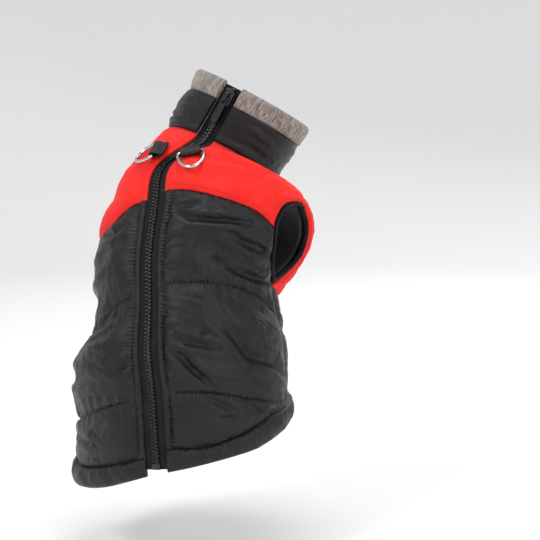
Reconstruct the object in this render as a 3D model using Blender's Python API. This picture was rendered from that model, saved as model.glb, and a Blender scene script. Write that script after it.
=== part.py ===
"""Padded dog jacket with a zip down the back, in the hollow form that it keeps when it is worn.

+X is the wearer's right, +Y the chest and belly side, +Z up. The origin is at the withers, just
inside the back of the jacket, where the wearer carries it.

The jacket is drawn on one smooth form. A place on the form is a pair of numbers: the angle round
the body in degrees, 0 at the zip and positive towards the wearer's right, and the station in
millimetres up the back from the hem. A lift in millimetres moves a place out from the form.
"""
import math

import bmesh
import bpy
import numpy as np
from mathutils import Matrix, Vector

MM = 0.001

# The form: one row for each ring, from the hem up to the collar's top edge. x, y and z are the
# ring's centre, left to front its four half widths, and lean, tilt and turn its angles.
ROW_COLUMNS = ("station", "x", "y", "z", "left", "right", "back", "front", "lean", "tilt", "turn")
FORM_ROWS = (
    (-30, 2, 18, -258, 104, 96, 82, 78, 10, -6, 11),
    (10, 2, 18, -222, 97, 97, 84, 80, 12, -6, 10),
    (40, 0, 19, -194, 97, 99, 86, 82, 14, -5, 10),
    (75, -2, 22, -162, 97, 94, 86, 82, 16, -4, 8),
    (115, 1, 28, -126, 81, 86, 82, 82, 20, -4, 3),
    (155, -6, 38, -90, 82, 80, 80, 84, 24, -4, 3),
    (200, 0, 52, -52, 92, 92, 80, 92, 28, -2, -4),
    (240, 6, 66, -18, 85, 91, 74, 96, 30, 4, -13),
    (270, 8, 78, 6, 71, 80, 60, 82, 28, 12, -6),
    (295, 3, 88, 23, 57, 57, 50, 56, 22, 20, 0),
    (322, 15, 94, 47, 55, 56, 50, 54, 18, 23, 0),
    (350, 28, 99, 71, 57, 58, 52, 55, 15, 25, 0),
)

# Seams drawn on the form, as rows of angle and station.
LINE_COLUMNS = ("angle", "station")
HEM_EDGE = (
    (-180, 70), (-150, 63), (-130, 48), (-110, 27), (-98, 10), (-85, -8), (-72, -23), (-60, -31),
    (-46, -34), (-30, -33), (-15, -28), (-5, -24), (5, -21), (18, -17), (31, -12), (43, -7),
    (56, -1), (74, 12), (85, 21), (98, 33), (110, 43), (130, 57), (150, 66), (180, 70),
)
HEM_STITCH = (
    (-180, 88), (-150, 81), (-130, 66), (-110, 45), (-98, 28), (-85, 9), (-70, -6), (-56, -13),
    (-40, -15), (-24, -13), (-7, -8), (7, 0), (21, 0), (31, 3), (41, 9), (50, 15), (58, 22),
    (68, 31), (87, 42), (98, 51), (110, 61), (130, 75), (150, 84), (180, 88),
)
LOWER_QUILT = (
    (-98, 36), (-75, 28), (-54, 28), (-33, 33), (-16, 37.5), (-7, 40.5), (7, 45), (28, 47.5),
    (51, 45), (64, 44.5), (85, 48), (98, 56),
)
UPPER_QUILT = (
    (-180, 122), (-130, 112), (-98, 104), (-80, 100), (-60, 100), (-41, 106.5), (-31, 114),
    (-20, 121), (-7, 124), (7, 132), (25, 137), (45, 140), (66, 141), (80, 139), (90, 133.5),
    (98, 127), (130, 122), (180, 122),
)
YOKE_SEAM = (
    (-98, 186), (-51, 186), (-33, 189.5), (-24, 196), (-17, 201), (-6, 204), (6, 211.5),
    (38, 211.5), (48, 210), (61, 207), (74, 200), (98, 200),
)

# The armholes, one at each side: a round-cornered diamond, with its centre on the side seam.
SIDE_ANGLE = 98.0
ARMHOLE_STATION = 203.0
ARMHOLE_BACKWARD = 25.0
ARMHOLE_FORWARD = 22.0
ARMHOLE_UP = 47.0
ARMHOLE_DOWN = 45.0
ARMHOLE_POWER = 1.5
NECK_STATION = 295.0
SHOULDER_ANGLE_AT_NECK = 90.0
YOKE_CORNER = {"right": 199.0, "left": 187.0}
CHEST_SEAM = ARMHOLE_STATION - ARMHOLE_DOWN

# The walls. Lifts are measured from the form, which runs through the crowns of the padding.
PANEL_INNER = -8.0
HEM_INNER = -7.4
QUILT_DIP = 4.6
THIN_EDGE_LIFT = -4.4
YOKE_CROWN = -0.9
LINING_LIFTS = (-11.6, -10.5)
LEAST_WALL = 2.2
HALF_SEAM = 0.3
HALF_SEAM_DEGREES = 0.25
EDGE_SOFTNESS = 5.0
FULL_TIER = 34.0
FLANK_MM_PER_DEGREE = 1.45

# Faces in each panel: round the body, then up it. The tiers run from one seam to the next.
BODY_COLUMNS = 13
BODY_TIERS = (5, 9, 8)
BELLY_COLUMNS = 16
BELLY_TIERS = (4, 4)
HEM_FACES = (16, 4)
YOKE_FACES = (12, 10)
CHEST_FACES = (14, 12)
LINING_BACK_FACES = (12, 20)
LINING_FRONT_FACES = (16, 17)
COLLAR_FACES = 26
ZIP_FACES = 46

# The collar: black outside below, grey fleece inside and over the top edge.
COLLAR_TOP = 350.0
COLLAR_CHANGE = 331.0
COLLAR_LIFTS = (-3.9, -0.4)
FACING_INNER = -6.6

# The zip.
ZIP_HALF_BAND = 8.3
ZIP_BOTTOM = -18.0
ZIP_TOP = 347.0
CHAIN_HALF = 2.7
CHAIN_LIFTS = (-6.9, -3.9)
TAPE_LIFTS = (-6.9, -5.5)
SLIDER_STATION = 336.0
SLIDER_LIFT = -3.3

# The leash rings and their webbing. A ring's heading turns it from the side towards the hem, and
# its droop tips its bow down to the cloth. Its lift seats the webbing on the cloth.
RING_COLUMNS = ("angle", "station", "lift", "heading", "droop")
RING_ROWS = {
    "left": (-13.0, 250.5, 2.6, 46.0, 7.0),
    "right": (13.0, 251.0, 1.75, 30.0, 0.0),
}
RING_WIRE = 1.5
RING_HALF_WIDTH = 11.0
RING_DEPTH = 21.0
WEBBING_HALF_WIDTH = 8.6
WEBBING_THICKNESS = 1.3
WEBBING_REACH = 9.0

# Folds of the worn cloth: from one place on the form to another, with half width and lift.
FOLD_COLUMNS = ("angle_a", "station_a", "angle_b", "station_b", "half_width", "lift")
FOLDS = (
    (13, 192, 61, 196, 6, -2.2),
    (43, 181, 85, 174, 7, -2.0),
    (35, 166, 57, 163, 13, -2.4),
    (52, 154, 92, 156, 7, -2.0),
    (49, 128, 83, 126, 12, -2.2),
    (17, 91, 38, 85, 6, -1.6),
    (12, 81, 32, 52, 6, -2.2),
    (46, 105, 62, 84, 12, -1.8),
    (62, 84, 89, 72, 9, -2.4),
    (27, 43, 42, 33, 6, -1.6),
    (63, 27, 79, 43, 7, -2.0),
    (-43, 83, -16, 95, 9, 1.8),
    (-10, 70, -24, 63, 7, -1.8),
    (-60, 62, -88, 70, 10, -2.2),
    (-34, 160, -64, 150, 11, -2.0),
    (-58, 128, -90, 132, 10, -2.0),
    (118, 108, 150, 100, 10, -2.0),
    (205, 112, 236, 104, 10, -2.0),
)
YOKE_FOLDS = (
    (14, 238, 52, 246, 9, 2.6),
    (20, 256, 58, 262, 9, -2.6),
    (66, 232, 73, 214, 6, 1.4),
    (-30, 214, -62, 222, 12, -1.6),
    (-40, 262, -76, 258, 9, -1.8),
    (150, 262, 208, 262, 11, -2.0),
    (140, 214, 172, 206, 12, -2.0),
)

RED = (0.80, 0.035, 0.022)
BLACK_NYLON = (0.022, 0.022, 0.024)
BLACK_WEBBING = (0.012, 0.012, 0.013)
BLACK_FLEECE = (0.015, 0.015, 0.016)
GREY_FLEECE = (0.30, 0.27, 0.25)
CHROME = (0.78, 0.78, 0.80)


# ---- the form -------------------------------------------------------------------------------

def smooth_table(stations, values, at):
    """Read a table at any station, on a smooth curve through its rows and straight beyond them."""
    stations = np.asarray(stations, float)
    values = np.asarray(values, float)
    at = np.asarray(at, float)
    steps = np.diff(stations)
    rises = np.diff(values) / steps
    slopes = np.empty_like(values)
    slopes[1:-1] = (rises[:-1] * steps[1:] + rises[1:] * steps[:-1]) / (steps[1:] + steps[:-1])
    slopes[0] = rises[0]
    slopes[-1] = rises[-1]
    row = np.clip(np.searchsorted(stations, at, side="right") - 1, 0, len(steps) - 1)
    width = steps[row]
    part = np.clip((at - stations[row]) / width, 0.0, 1.0)
    beyond = at - np.clip(at, stations[0], stations[-1])
    square = part * part
    cube = square * part
    return (
        (2 * cube - 3 * square + 1) * values[row]
        + (cube - 2 * square + part) * width * slopes[row]
        + (3 * square - 2 * cube) * values[row + 1]
        + (cube - square) * width * slopes[row + 1]
        + beyond * np.where(beyond < 0, slopes[0], slopes[-1])
    )


FORM_TABLE = np.array(FORM_ROWS, float)


def ring_value(column, station):
    index = ROW_COLUMNS.index(column)
    return smooth_table(FORM_TABLE[:, 0], FORM_TABLE[:, index], station)


def form_point(angle, station):
    """Points on the form, in millimetres."""
    angle, station = np.broadcast_arrays(np.asarray(angle, float), np.asarray(station, float))
    turned = np.radians(angle + ring_value("turn", station))
    lean = np.radians(ring_value("lean", station))
    tilt = np.radians(ring_value("tilt", station))
    side, depth = np.sin(turned), np.cos(turned)
    half_width = np.where(side > 0, ring_value("right", station), ring_value("left", station))
    half_depth = np.where(depth > 0, ring_value("back", station), ring_value("front", station))
    across = np.stack([np.cos(tilt), 0 * tilt, -np.sin(tilt)], -1)
    forward = np.stack(
        [-np.sin(lean) * np.sin(tilt), np.cos(lean), -np.sin(lean) * np.cos(tilt)], -1)
    centre = np.stack([ring_value(axis, station) for axis in "xyz"], -1)
    return centre + (half_width * side)[..., None] * across - (half_depth * depth)[..., None] * forward


def form_tangents(angle, station):
    """Unit tangents round the body and up the back, and the normal that points out."""
    angle, station = np.broadcast_arrays(np.asarray(angle, float), np.asarray(station, float))
    around = form_point(angle + 0.5, station) - form_point(angle - 0.5, station)
    up = form_point(angle, station + 1.0) - form_point(angle, station - 1.0)
    out = np.cross(around, up)
    return tuple(v / np.linalg.norm(v, axis=-1, keepdims=True) for v in (around, up, out))


def place(angle, station, lift):
    """World points in metres of places on the form, moved out by their lift."""
    out = form_tangents(angle, station)[2]
    return (form_point(angle, station) + out * np.asarray(lift, float)[..., None]) * MM


def wrapped(angle):
    return (np.asarray(angle, float) + 180.0) % 360.0 - 180.0


def line_station(line, angle):
    """The station of a seam line at an angle."""
    columns = dict(zip(LINE_COLUMNS, np.array(line, float).T))
    angles = columns["angle"]
    return smooth_table(angles, columns["station"], np.clip(wrapped(angle), angles[0], angles[-1]))


def millimetres_per_degree(station):
    return np.radians(1.0) * ring_value("back", station)


def zip_angle(station, width=ZIP_HALF_BAND):
    """The angle at which the zip's band, or another width from its middle, ends."""
    return width / millimetres_per_degree(station)


# ---- outlines of the panels -----------------------------------------------------------------

def armhole_reach(station):
    """How far the armhole opens at a station, from 0 at its two ends to 1 in its middle."""
    away = np.asarray(station, float) - ARMHOLE_STATION
    share = np.abs(away) / np.where(away > 0, ARMHOLE_UP, ARMHOLE_DOWN)
    return np.clip(1 - np.clip(share, 0, 1) ** ARMHOLE_POWER, 0, 1) ** (1 / ARMHOLE_POWER)


def armhole_floor(angle):
    """The station of the armhole's lower edge behind the side seam, at an angle from the zip."""
    share = np.clip((SIDE_ANGLE - np.abs(angle)) / ARMHOLE_BACKWARD, 0, 1)
    drop = np.clip(1 - share ** ARMHOLE_POWER, 0, 1) ** (1 / ARMHOLE_POWER)
    return np.where(share < 1, ARMHOLE_STATION - ARMHOLE_DOWN * drop, np.inf)


def shoulder_angle(station):
    """The shoulder seam, from the top of the armhole to the neck."""
    top = ARMHOLE_STATION + ARMHOLE_UP
    share = np.clip((np.asarray(station, float) - top) / (NECK_STATION - top), 0, 1)
    return SIDE_ANGLE + (SHOULDER_ANGLE_AT_NECK - SIDE_ANGLE) * share


def back_edge(station):
    """The angle at which the back's pieces end: side seam, armhole or shoulder seam."""
    return shoulder_angle(station) - ARMHOLE_BACKWARD * armhole_reach(station)


def front_edge(station):
    """The angle at which the front's pieces begin."""
    return shoulder_angle(station) + ARMHOLE_FORWARD * armhole_reach(station)


def sign_of(side):
    return 1.0 if side == "right" else -1.0


def body_outline(side, tiers):
    """Map (u, v) to a flank panel. tiers gives the rows of faces between one seam and the next."""
    sign = sign_of(side)
    total = sum(tiers)
    foot, head = (line_station(line, sign * 6.0) for line in (HEM_STITCH, YOKE_SEAM))

    def outline(u, v):
        station = foot + v * (head - foot)
        inner = zip_angle(station, ZIP_HALF_BAND + HALF_SEAM)
        angle = sign * (inner + u * (SIDE_ANGLE - HALF_SEAM_DEGREES - inner))
        lines = body_lines(angle)
        step = v * total
        result = np.zeros_like(angle)
        passed = 0
        for tier, count in enumerate(tiers):
            inside = (step >= passed - 1e-6) & (step <= passed + count + 1e-6)
            share = np.clip((step - passed) / count, 0, 1)
            low, high = lines[tier], lines[tier + 1]
            result = np.where(inside, low + (high - low) * share, result)
            passed += count
        return angle, result

    return outline


def body_lines(angle):
    """The seams of a flank panel from hem to top, at an angle."""
    top = np.minimum(line_station(YOKE_SEAM, angle), armhole_floor(angle)) - HALF_SEAM
    hem = line_station(HEM_STITCH, angle) + HALF_SEAM
    lower = np.maximum(line_station(LOWER_QUILT, angle), hem + 3.0)
    upper = np.minimum(line_station(UPPER_QUILT, angle), top - 8.0)
    return hem, lower, upper, top


def belly_lines(angle):
    hem = line_station(HEM_STITCH, angle) + HALF_SEAM
    middle = np.maximum(line_station(UPPER_QUILT, angle), hem + 6.0)
    return hem, middle, np.full_like(np.asarray(angle, float), CHEST_SEAM - HALF_SEAM)


def belly_outline(tiers):
    total = sum(tiers)

    def outline(u, v):
        angle = SIDE_ANGLE + HALF_SEAM_DEGREES + u * (360.0 - 2 * (SIDE_ANGLE + HALF_SEAM_DEGREES))
        lines = belly_lines(angle)
        step = v * total
        low_share = np.clip(step / tiers[0], 0, 1)
        high_share = np.clip((step - tiers[0]) / tiers[1], 0, 1)
        return angle, lines[0] + (lines[1] - lines[0]) * low_share + (lines[2] - lines[1]) * high_share

    return outline


def hem_outline(start, end):
    def outline(u, v):
        angle = start + u * (end - start)
        low = line_station(HEM_EDGE, angle)
        high = line_station(HEM_STITCH, angle) - HALF_SEAM
        return angle, low + v * (high - low)

    return outline


def hem_spans():
    """The angles at which each piece of the hem starts and ends."""
    side = SIDE_ANGLE - HALF_SEAM_DEGREES
    beside_zip = float(zip_angle(line_station(HEM_EDGE, 0.0), ZIP_HALF_BAND + HALF_SEAM))
    return {
        "hem_left": (-side, -beside_zip),
        "hem_right": (beside_zip, side),
        "hem_belly": (SIDE_ANGLE + HALF_SEAM_DEGREES, 360.0 - SIDE_ANGLE - HALF_SEAM_DEGREES),
    }


def yoke_outline(side):
    sign = sign_of(side)
    corner = YOKE_CORNER[side]

    def outline(u, v):
        top = NECK_STATION - HALF_SEAM
        edge_station = corner + v * (top - corner)
        inner = zip_angle(edge_station, ZIP_HALF_BAND + HALF_SEAM)
        angle = sign * (inner + u * (back_edge(edge_station) - HALF_SEAM_DEGREES - inner))
        seam = line_station(YOKE_SEAM, angle) + HALF_SEAM
        return angle, seam + v * (top - seam)

    return outline


def chest_outline(u, v):
    low, high = CHEST_SEAM + HALF_SEAM, NECK_STATION - HALF_SEAM
    station = low + v * (high - low)
    edge = front_edge(station) + HALF_SEAM_DEGREES
    return edge + u * (360.0 - 2 * edge), station


def lining_back_outline(side):
    sign = sign_of(side)

    def outline(u, v):
        low = line_station(HEM_STITCH, sign * u * SIDE_ANGLE) + 2.0
        station = low + v * (NECK_STATION - 1.0 - low)
        inner = zip_angle(station, ZIP_HALF_BAND - 1.0)
        return sign * (inner + u * (back_edge(station) - 0.7 - inner)), station

    return outline


def lining_front_outline(u, v):
    low = line_station(HEM_STITCH, SIDE_ANGLE + u * (360.0 - 2 * SIDE_ANGLE)) + 2.0
    station = low + v * (NECK_STATION - 1.0 - low)
    edge = front_edge(station) + 0.7
    return edge + u * (360.0 - 2 * edge), station


# ---- padding and folds ----------------------------------------------------------------------

def fold_lift(folds, angle, station):
    """The soft troughs and ridges at a place."""
    total = np.zeros(np.broadcast(angle, station).shape)
    for row in folds:
        fold = dict(zip(FOLD_COLUMNS, row))
        start = np.array([fold["angle_a"] * FLANK_MM_PER_DEGREE, fold["station_a"]])
        run = np.array([fold["angle_b"] * FLANK_MM_PER_DEGREE, fold["station_b"]]) - start
        here_x, here_y = angle * FLANK_MM_PER_DEGREE - start[0], station - start[1]
        along = np.clip((here_x * run[0] + here_y * run[1]) / run.dot(run), 0, 1)
        distance = np.hypot(here_x - along * run[0], here_y - along * run[1])
        swell = 0.35 + 0.65 * np.sin(math.pi * np.clip(along, 0.0, 1.0))
        total += fold["lift"] * swell * np.exp(-(distance / fold["half_width"]) ** 2)
    return total


def rounded(distance):
    """0 on a seam, rising to 1 a few millimetres away from it."""
    return 1 - np.exp(-np.clip(distance, 0, None) / EDGE_SOFTNESS)


def tier_crown(lines, station):
    """How full the padding stands between the seams of a panel, from 0 to 1."""
    crown = np.zeros_like(station)
    for low, high in zip(lines[:-1], lines[1:]):
        height = np.maximum(high - low, 1e-6)
        share = np.clip((station - low) / height, 0, 1)
        inside = (station >= low) & (station <= high)
        fullness = np.minimum(height / FULL_TIER, 1.0)
        crown = np.where(inside, fullness * np.sqrt(4 * share * (1 - share)), crown)
    return crown


def quilted_lift(lines_of, zip_side):
    def lift(angle, station):
        crown = tier_crown(lines_of(angle), station)
        reach = np.abs(wrapped(angle))
        if zip_side:
            from_zip = (reach - zip_angle(station)) * millimetres_per_degree(station)
            crown = crown * rounded(from_zip)
        crown = crown * rounded(np.abs(reach - SIDE_ANGLE) * FLANK_MM_PER_DEGREE + 1.0)
        raised = -QUILT_DIP * (1 - crown) + fold_lift(FOLDS, angle, station) * np.minimum(1, crown * 1.6)
        return np.maximum(raised, PANEL_INNER + LEAST_WALL)

    return lift


def plain_lift(seams):
    """The lift of a red panel: thin at its seams, fuller between them."""
    def lift(angle, station):
        crown = np.ones_like(station)
        for seam in seams:
            crown = crown * rounded(seam(angle, station))
        raised = THIN_EDGE_LIFT + (YOKE_CROWN - THIN_EDGE_LIFT) * crown
        raised = raised + fold_lift(YOKE_FOLDS, angle, station) * crown
        return np.maximum(raised, PANEL_INNER + LEAST_WALL)

    return lift


def from_zip_band(angle, station):
    return (np.abs(wrapped(angle)) - zip_angle(station)) * millimetres_per_degree(station)


def from_back_edge(angle, station):
    return (back_edge(station) - np.abs(wrapped(angle))) * FLANK_MM_PER_DEGREE + 2 * HALF_SEAM


def from_front_edge(angle, station):
    return (np.abs(wrapped(angle)) - front_edge(station)) * FLANK_MM_PER_DEGREE + 2 * HALF_SEAM


def from_neck(angle, station):
    return NECK_STATION - station


def from_yoke_seam(angle, station):
    return station - line_station(YOKE_SEAM, angle)


def from_chest_seam(angle, station):
    return station - CHEST_SEAM


def hem_lift(angle, station):
    """The hem is a rolled tube of cloth, and stands out most at the back left."""
    low, high = line_station(HEM_EDGE, angle), line_station(HEM_STITCH, angle)
    share = np.clip((station - low) / (high - low), 0, 1)
    stand = 1.6 * np.exp(-((wrapped(angle) + 58.0) / 26.0) ** 2)
    return -QUILT_DIP + (QUILT_DIP + stand) * np.sqrt(4 * share * (1 - share))


# ---- making the meshes ----------------------------------------------------------------------

def clear_scene():
    for item in list(bpy.data.objects):
        bpy.data.objects.remove(item, do_unlink=True)


def make_material(name, colour, roughness, metallic=0.0):
    material = bpy.data.materials.new(name)
    material.use_nodes = True
    shader = material.node_tree.nodes["Principled BSDF"]
    shader.inputs["Base Color"].default_value = (*colour, 1.0)
    shader.inputs["Roughness"].default_value = roughness
    shader.inputs["Metallic"].default_value = metallic
    return material


def add_object(name, mesh_maker, material, matrix=None):
    """Turn a bmesh into a named object with its faces pointing out."""
    bmesh.ops.recalc_face_normals(mesh_maker, faces=mesh_maker.faces[:])
    if mesh_maker.calc_volume(signed=True) < 0:
        bmesh.ops.reverse_faces(mesh_maker, faces=mesh_maker.faces[:])
    mesh = bpy.data.meshes.new(name)
    mesh_maker.to_mesh(mesh)
    mesh_maker.free()
    mesh.materials.append(material)
    mesh.shade_smooth()
    mesh.set_sharp_from_angle(angle=math.radians(40))
    item = bpy.data.objects.new(name, mesh)
    if matrix is not None:
        item.matrix_world = matrix
    bpy.context.scene.collection.objects.link(item)
    return item


def move_to(vertices, points):
    for vertex, point in zip(vertices, points):
        vertex.co = point


def make_panel(name, faces, outline, outer_lift, inner_lift, material):
    """A wall: a grid laid on the form, extruded outwards to its padded outer face."""
    maker = bmesh.new()
    bmesh.ops.create_grid(maker, x_segments=faces[0], y_segments=faces[1], size=1.0)
    flat = np.array([vertex.co[:] for vertex in maker.verts])
    angle, station = outline((flat[:, 0] + 1) / 2, (flat[:, 1] + 1) / 2)
    inner_vertices = list(maker.verts)
    grown = bmesh.ops.extrude_face_region(maker, geom=maker.faces[:], use_keep_orig=True)
    outer_vertices = [part for part in grown["geom"] if isinstance(part, bmesh.types.BMVert)]
    order = {tuple(round(c, 6) for c in vertex.co): i for i, vertex in enumerate(inner_vertices)}
    matching = [order[tuple(round(c, 6) for c in vertex.co)] for vertex in outer_vertices]
    lift = outer_lift(angle, station)
    move_to(outer_vertices, place(angle, station, lift)[matching])
    move_to(inner_vertices, place(angle, station, np.full_like(angle, inner_lift)))
    return add_object(name, maker, material)


def make_swept(name, sections, material, closed=False, matrix=None):
    """A solid through a row of equal sections, each a loop of points, by repeated extrusion."""
    maker = bmesh.new()
    count = len(sections[0])
    bmesh.ops.create_circle(maker, cap_ends=False, segments=count, radius=1.0)
    first_loop = list(maker.verts)
    first_edges = list(maker.edges)
    move_to(first_loop, sections[0])
    loop_edges = first_edges
    if not closed:
        bmesh.ops.contextual_create(maker, geom=first_edges)
    order = first_loop
    for section in sections[1:]:
        grown = bmesh.ops.extrude_edge_only(maker, edges=loop_edges)
        fresh = {part for part in grown["geom"] if isinstance(part, bmesh.types.BMVert)}
        loop_edges = [part for part in grown["geom"] if isinstance(part, bmesh.types.BMEdge)
                      and part.verts[0] in fresh and part.verts[1] in fresh]
        order = [next(edge.other_vert(vertex) for edge in vertex.link_edges
                      if edge.other_vert(vertex) in fresh) for vertex in order]
        move_to(order, section)
    if closed:
        bmesh.ops.bridge_loops(maker, edges=first_edges + loop_edges)
    else:
        bmesh.ops.contextual_create(maker, geom=loop_edges)
    return add_object(name, maker, material, matrix)


def make_prism(name, outline, bottom, top, material, matrix=None):
    """A flat plate: an outline in x and y, from bottom to top in z."""
    sections = [[(x * MM, y * MM, z * MM) for x, y in outline] for z in (bottom, top)]
    return make_swept(name, sections, material, matrix=matrix)


def frame_at(angle, station, lift, up_axis, flip=False):
    """A local frame on the form: z points out, and up_axis, x or y, points up the back."""
    _, up, out = (Vector(v) for v in form_tangents(angle, station))
    if flip:
        up = -up
    other = up.cross(out) if up_axis == "y" else out.cross(up)
    first, second = (other, up) if up_axis == "y" else (up, other)
    origin = Vector(place(angle, station, np.asarray(lift)))
    matrix = Matrix((first.normalized(), second.normalized(), out.normalized())).transposed().to_4x4()
    matrix.translation = origin
    return matrix


# ---- the pieces -----------------------------------------------------------------------------

def make_body(materials):
    for side in ("left", "right"):
        make_panel(f"body_{side}", (BODY_COLUMNS, sum(BODY_TIERS)), body_outline(side, BODY_TIERS),
                   quilted_lift(body_lines, True), PANEL_INNER, materials["nylon"])
    make_panel("belly_panel", (BELLY_COLUMNS, sum(BELLY_TIERS)), belly_outline(BELLY_TIERS),
               quilted_lift(belly_lines, False), PANEL_INNER, materials["nylon"])


def make_hem(materials):
    for name, (start, end) in hem_spans().items():
        make_panel(name, HEM_FACES, hem_outline(start, end), hem_lift, HEM_INNER,
                   materials["nylon"])


def make_red_panels(materials):
    yoke_lift = plain_lift((from_zip_band, from_back_edge, from_neck, from_yoke_seam))
    for side in ("left", "right"):
        make_panel(f"yoke_{side}", YOKE_FACES, yoke_outline(side), yoke_lift, PANEL_INNER,
                   materials["red"])
    chest_lift = plain_lift((from_front_edge, from_neck, from_chest_seam))
    make_panel("chest_panel", CHEST_FACES, chest_outline, chest_lift, PANEL_INNER, materials["red"])


def make_lining(materials):
    inner, outer = LINING_LIFTS

    def flat_lift(angle, station):
        return np.full_like(station, outer)

    for side in ("left", "right"):
        make_panel(f"lining_{side}", LINING_BACK_FACES, lining_back_outline(side), flat_lift,
                   inner, materials["fleece"])
    make_panel("lining_front", LINING_FRONT_FACES, lining_front_outline, flat_lift, inner,
               materials["fleece"])


def collar_profiles():
    """Sections of the collar's two pieces, as rows of station and lift, each a closed loop."""
    low, high = COLLAR_LIFTS
    bottom, change, top = NECK_STATION + HALF_SEAM, COLLAR_CHANGE, COLLAR_TOP
    levels = np.linspace(bottom, change - HALF_SEAM, 6)
    stand = [(bottom, high - 2.4), (bottom + 5, high - 0.3), (bottom + 12, high - 1.3),
             (bottom + 20, high), (change - 6, high - 0.2), (change - HALF_SEAM, high - 1.6)]
    stand += [(station, low) for station in levels[::-1]]
    facing = [(station, low - 0.35) for station in np.append(levels[:-1], change)]
    facing += [(change, high - 1.4), (change + 5, high), (top - 5, high), (top, high - 1.8),
               (top, FACING_INNER + 1.6)]
    facing += [(station, FACING_INNER) for station in np.linspace(top - 4, bottom, 7)]
    return {"collar_stand": stand, "collar_facing": facing}


def make_collar(materials):
    """Two pieces swept round the neck: the black stand, and the grey facing over its edge."""
    finishes = {"collar_stand": "nylon", "collar_facing": "grey"}
    for name, profile in collar_profiles().items():
        stations, lifts = np.array(profile, float).T
        edge = zip_angle(stations) + 0.4
        sections = []
        for share in np.linspace(0, 1, COLLAR_FACES + 1):
            angle = edge + share * (360.0 - 2 * edge)
            sections.append(place(angle, stations, lifts))
        make_swept(name, sections, materials[finishes[name]])


def make_zip(materials):
    stations = np.linspace(ZIP_BOTTOM, ZIP_TOP, ZIP_FACES + 1)
    degree = millimetres_per_degree(stations)
    for side in ("left", "right"):
        sign = sign_of(side)
        near = sign * (CHAIN_HALF + 0.3) / degree
        far = sign * (ZIP_HALF_BAND - 0.6) / degree
        corners = ((near, TAPE_LIFTS[0]), (far, TAPE_LIFTS[0]), (far, TAPE_LIFTS[1]),
                   (near, TAPE_LIFTS[1]))
        make_swept(f"zip_tape_{side}", strip_sections(corners, stations), materials["webbing"])
    half = CHAIN_HALF / degree
    corners = ((-half, CHAIN_LIFTS[0]), (half, CHAIN_LIFTS[0]), (half, CHAIN_LIFTS[1]),
               (-half, CHAIN_LIFTS[1]))
    make_swept("zip_chain", strip_sections(corners, stations), materials["moulded"])


def strip_sections(corners, stations):
    points = [place(angle, stations, np.full_like(stations, lift)) for angle, lift in corners]
    return np.stack(points, axis=1)


def make_slider(materials):
    """The slider straddles the chain. The pull's eye turns in the arch on its back."""
    frame = frame_at(0.0, SLIDER_STATION, SLIDER_LIFT, "y")
    half, flange, thickness, skirt = 4.9, 3.5, 1.8, -1.6
    section = [(-half, skirt), (-half, 1.2), (-half + 0.7, thickness), (half - 0.7, thickness),
               (half, 1.2), (half, skirt), (flange, skirt), (flange, 0.0), (-flange, 0.0),
               (-flange, skirt)]
    widths = ((-7.0, 0.86), (-5.5, 0.94), (1.0, 1.0), (5.5, 1.0), (7.0, 0.9))
    sections = [[(x * share * MM, y * MM, z * MM) for x, z in section] for y, share in widths]
    slider = make_swept("zip_slider", sections, materials["moulded"], matrix=frame)
    arch = make_arch(frame, materials)
    joined = slider.modifiers.new("arch", "BOOLEAN")
    joined.operation = "UNION"
    joined.solver = "EXACT"
    joined.object = arch
    arch.hide_render = True
    arch.display_type = "WIRE"
    make_pull(frame, materials)


def make_arch(frame, materials):
    """The bridge over the pull's eye, sunk a little into the slider's back."""
    outer_half, inner_half, hole_top, top, width = 4.6, 3.3, 4.2, 5.4, 0.8
    outline = [(-outer_half, 1.5), (-outer_half, 4.2), (-3.4, top), (3.4, top), (outer_half, 4.2),
               (outer_half, 1.5), (inner_half, 1.5), (inner_half, 3.6), (2.6, hole_top),
               (-2.6, hole_top), (-inner_half, 3.6), (-inner_half, 1.5)]
    sections = [[(x * MM, y * MM, z * MM) for y, z in outline] for x in (-width, width)]
    return make_swept("arch_guide", sections, materials["moulded"], matrix=frame)


def make_pull(frame, materials):
    """A flat tab with a window at its eye. It hangs from the slider, and turns about local x."""
    pin_height = 3.0
    half, window, eye, far = 2.9, 1.7, 0.7, 24.0
    thickness = 0.7
    rows = ((eye, half), (-eye, half), (-6.4, half), (-far + 3.0, half + 0.5), (-far, half - 1.2))
    hinge = frame @ Matrix.Translation((0, 0, pin_height * MM))
    sections = [[(-x * MM, y * MM, -thickness * MM), (x * MM, y * MM, -thickness * MM),
                 (x * MM, y * MM, thickness * MM), (-x * MM, y * MM, thickness * MM)]
                for y, x in rows]
    pull = make_swept("zip_pull", sections, materials["moulded"], matrix=hinge)
    corners = [(-window, -6.2), (window, -6.2), (window, -eye), (-window, -eye)]
    cutter = make_prism("window_cutter", corners, -3.0, 3.0, materials["moulded"], hinge)
    cut = pull.modifiers.new("window", "BOOLEAN")
    cut.operation = "DIFFERENCE"
    cut.solver = "EXACT"
    cut.object = cutter
    cutter.hide_render = True
    cutter.display_type = "WIRE"


def ring_path():
    """The D ring's centre line in its own plane: the bar on local x, the bow towards +y."""
    points = [(x, 0.0) for x in (-8.0, -4.0, 0.0, 4.0, 8.0)]
    points.append((RING_HALF_WIDTH - 0.8, 0.9))
    for step in range(15):
        turn = math.pi * step / 14
        points.append((RING_HALF_WIDTH * math.cos(turn), 4.0 + (RING_DEPTH - 4.0) * math.sin(turn)))
    points.append((-RING_HALF_WIDTH + 0.8, 0.9))
    return points


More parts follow.
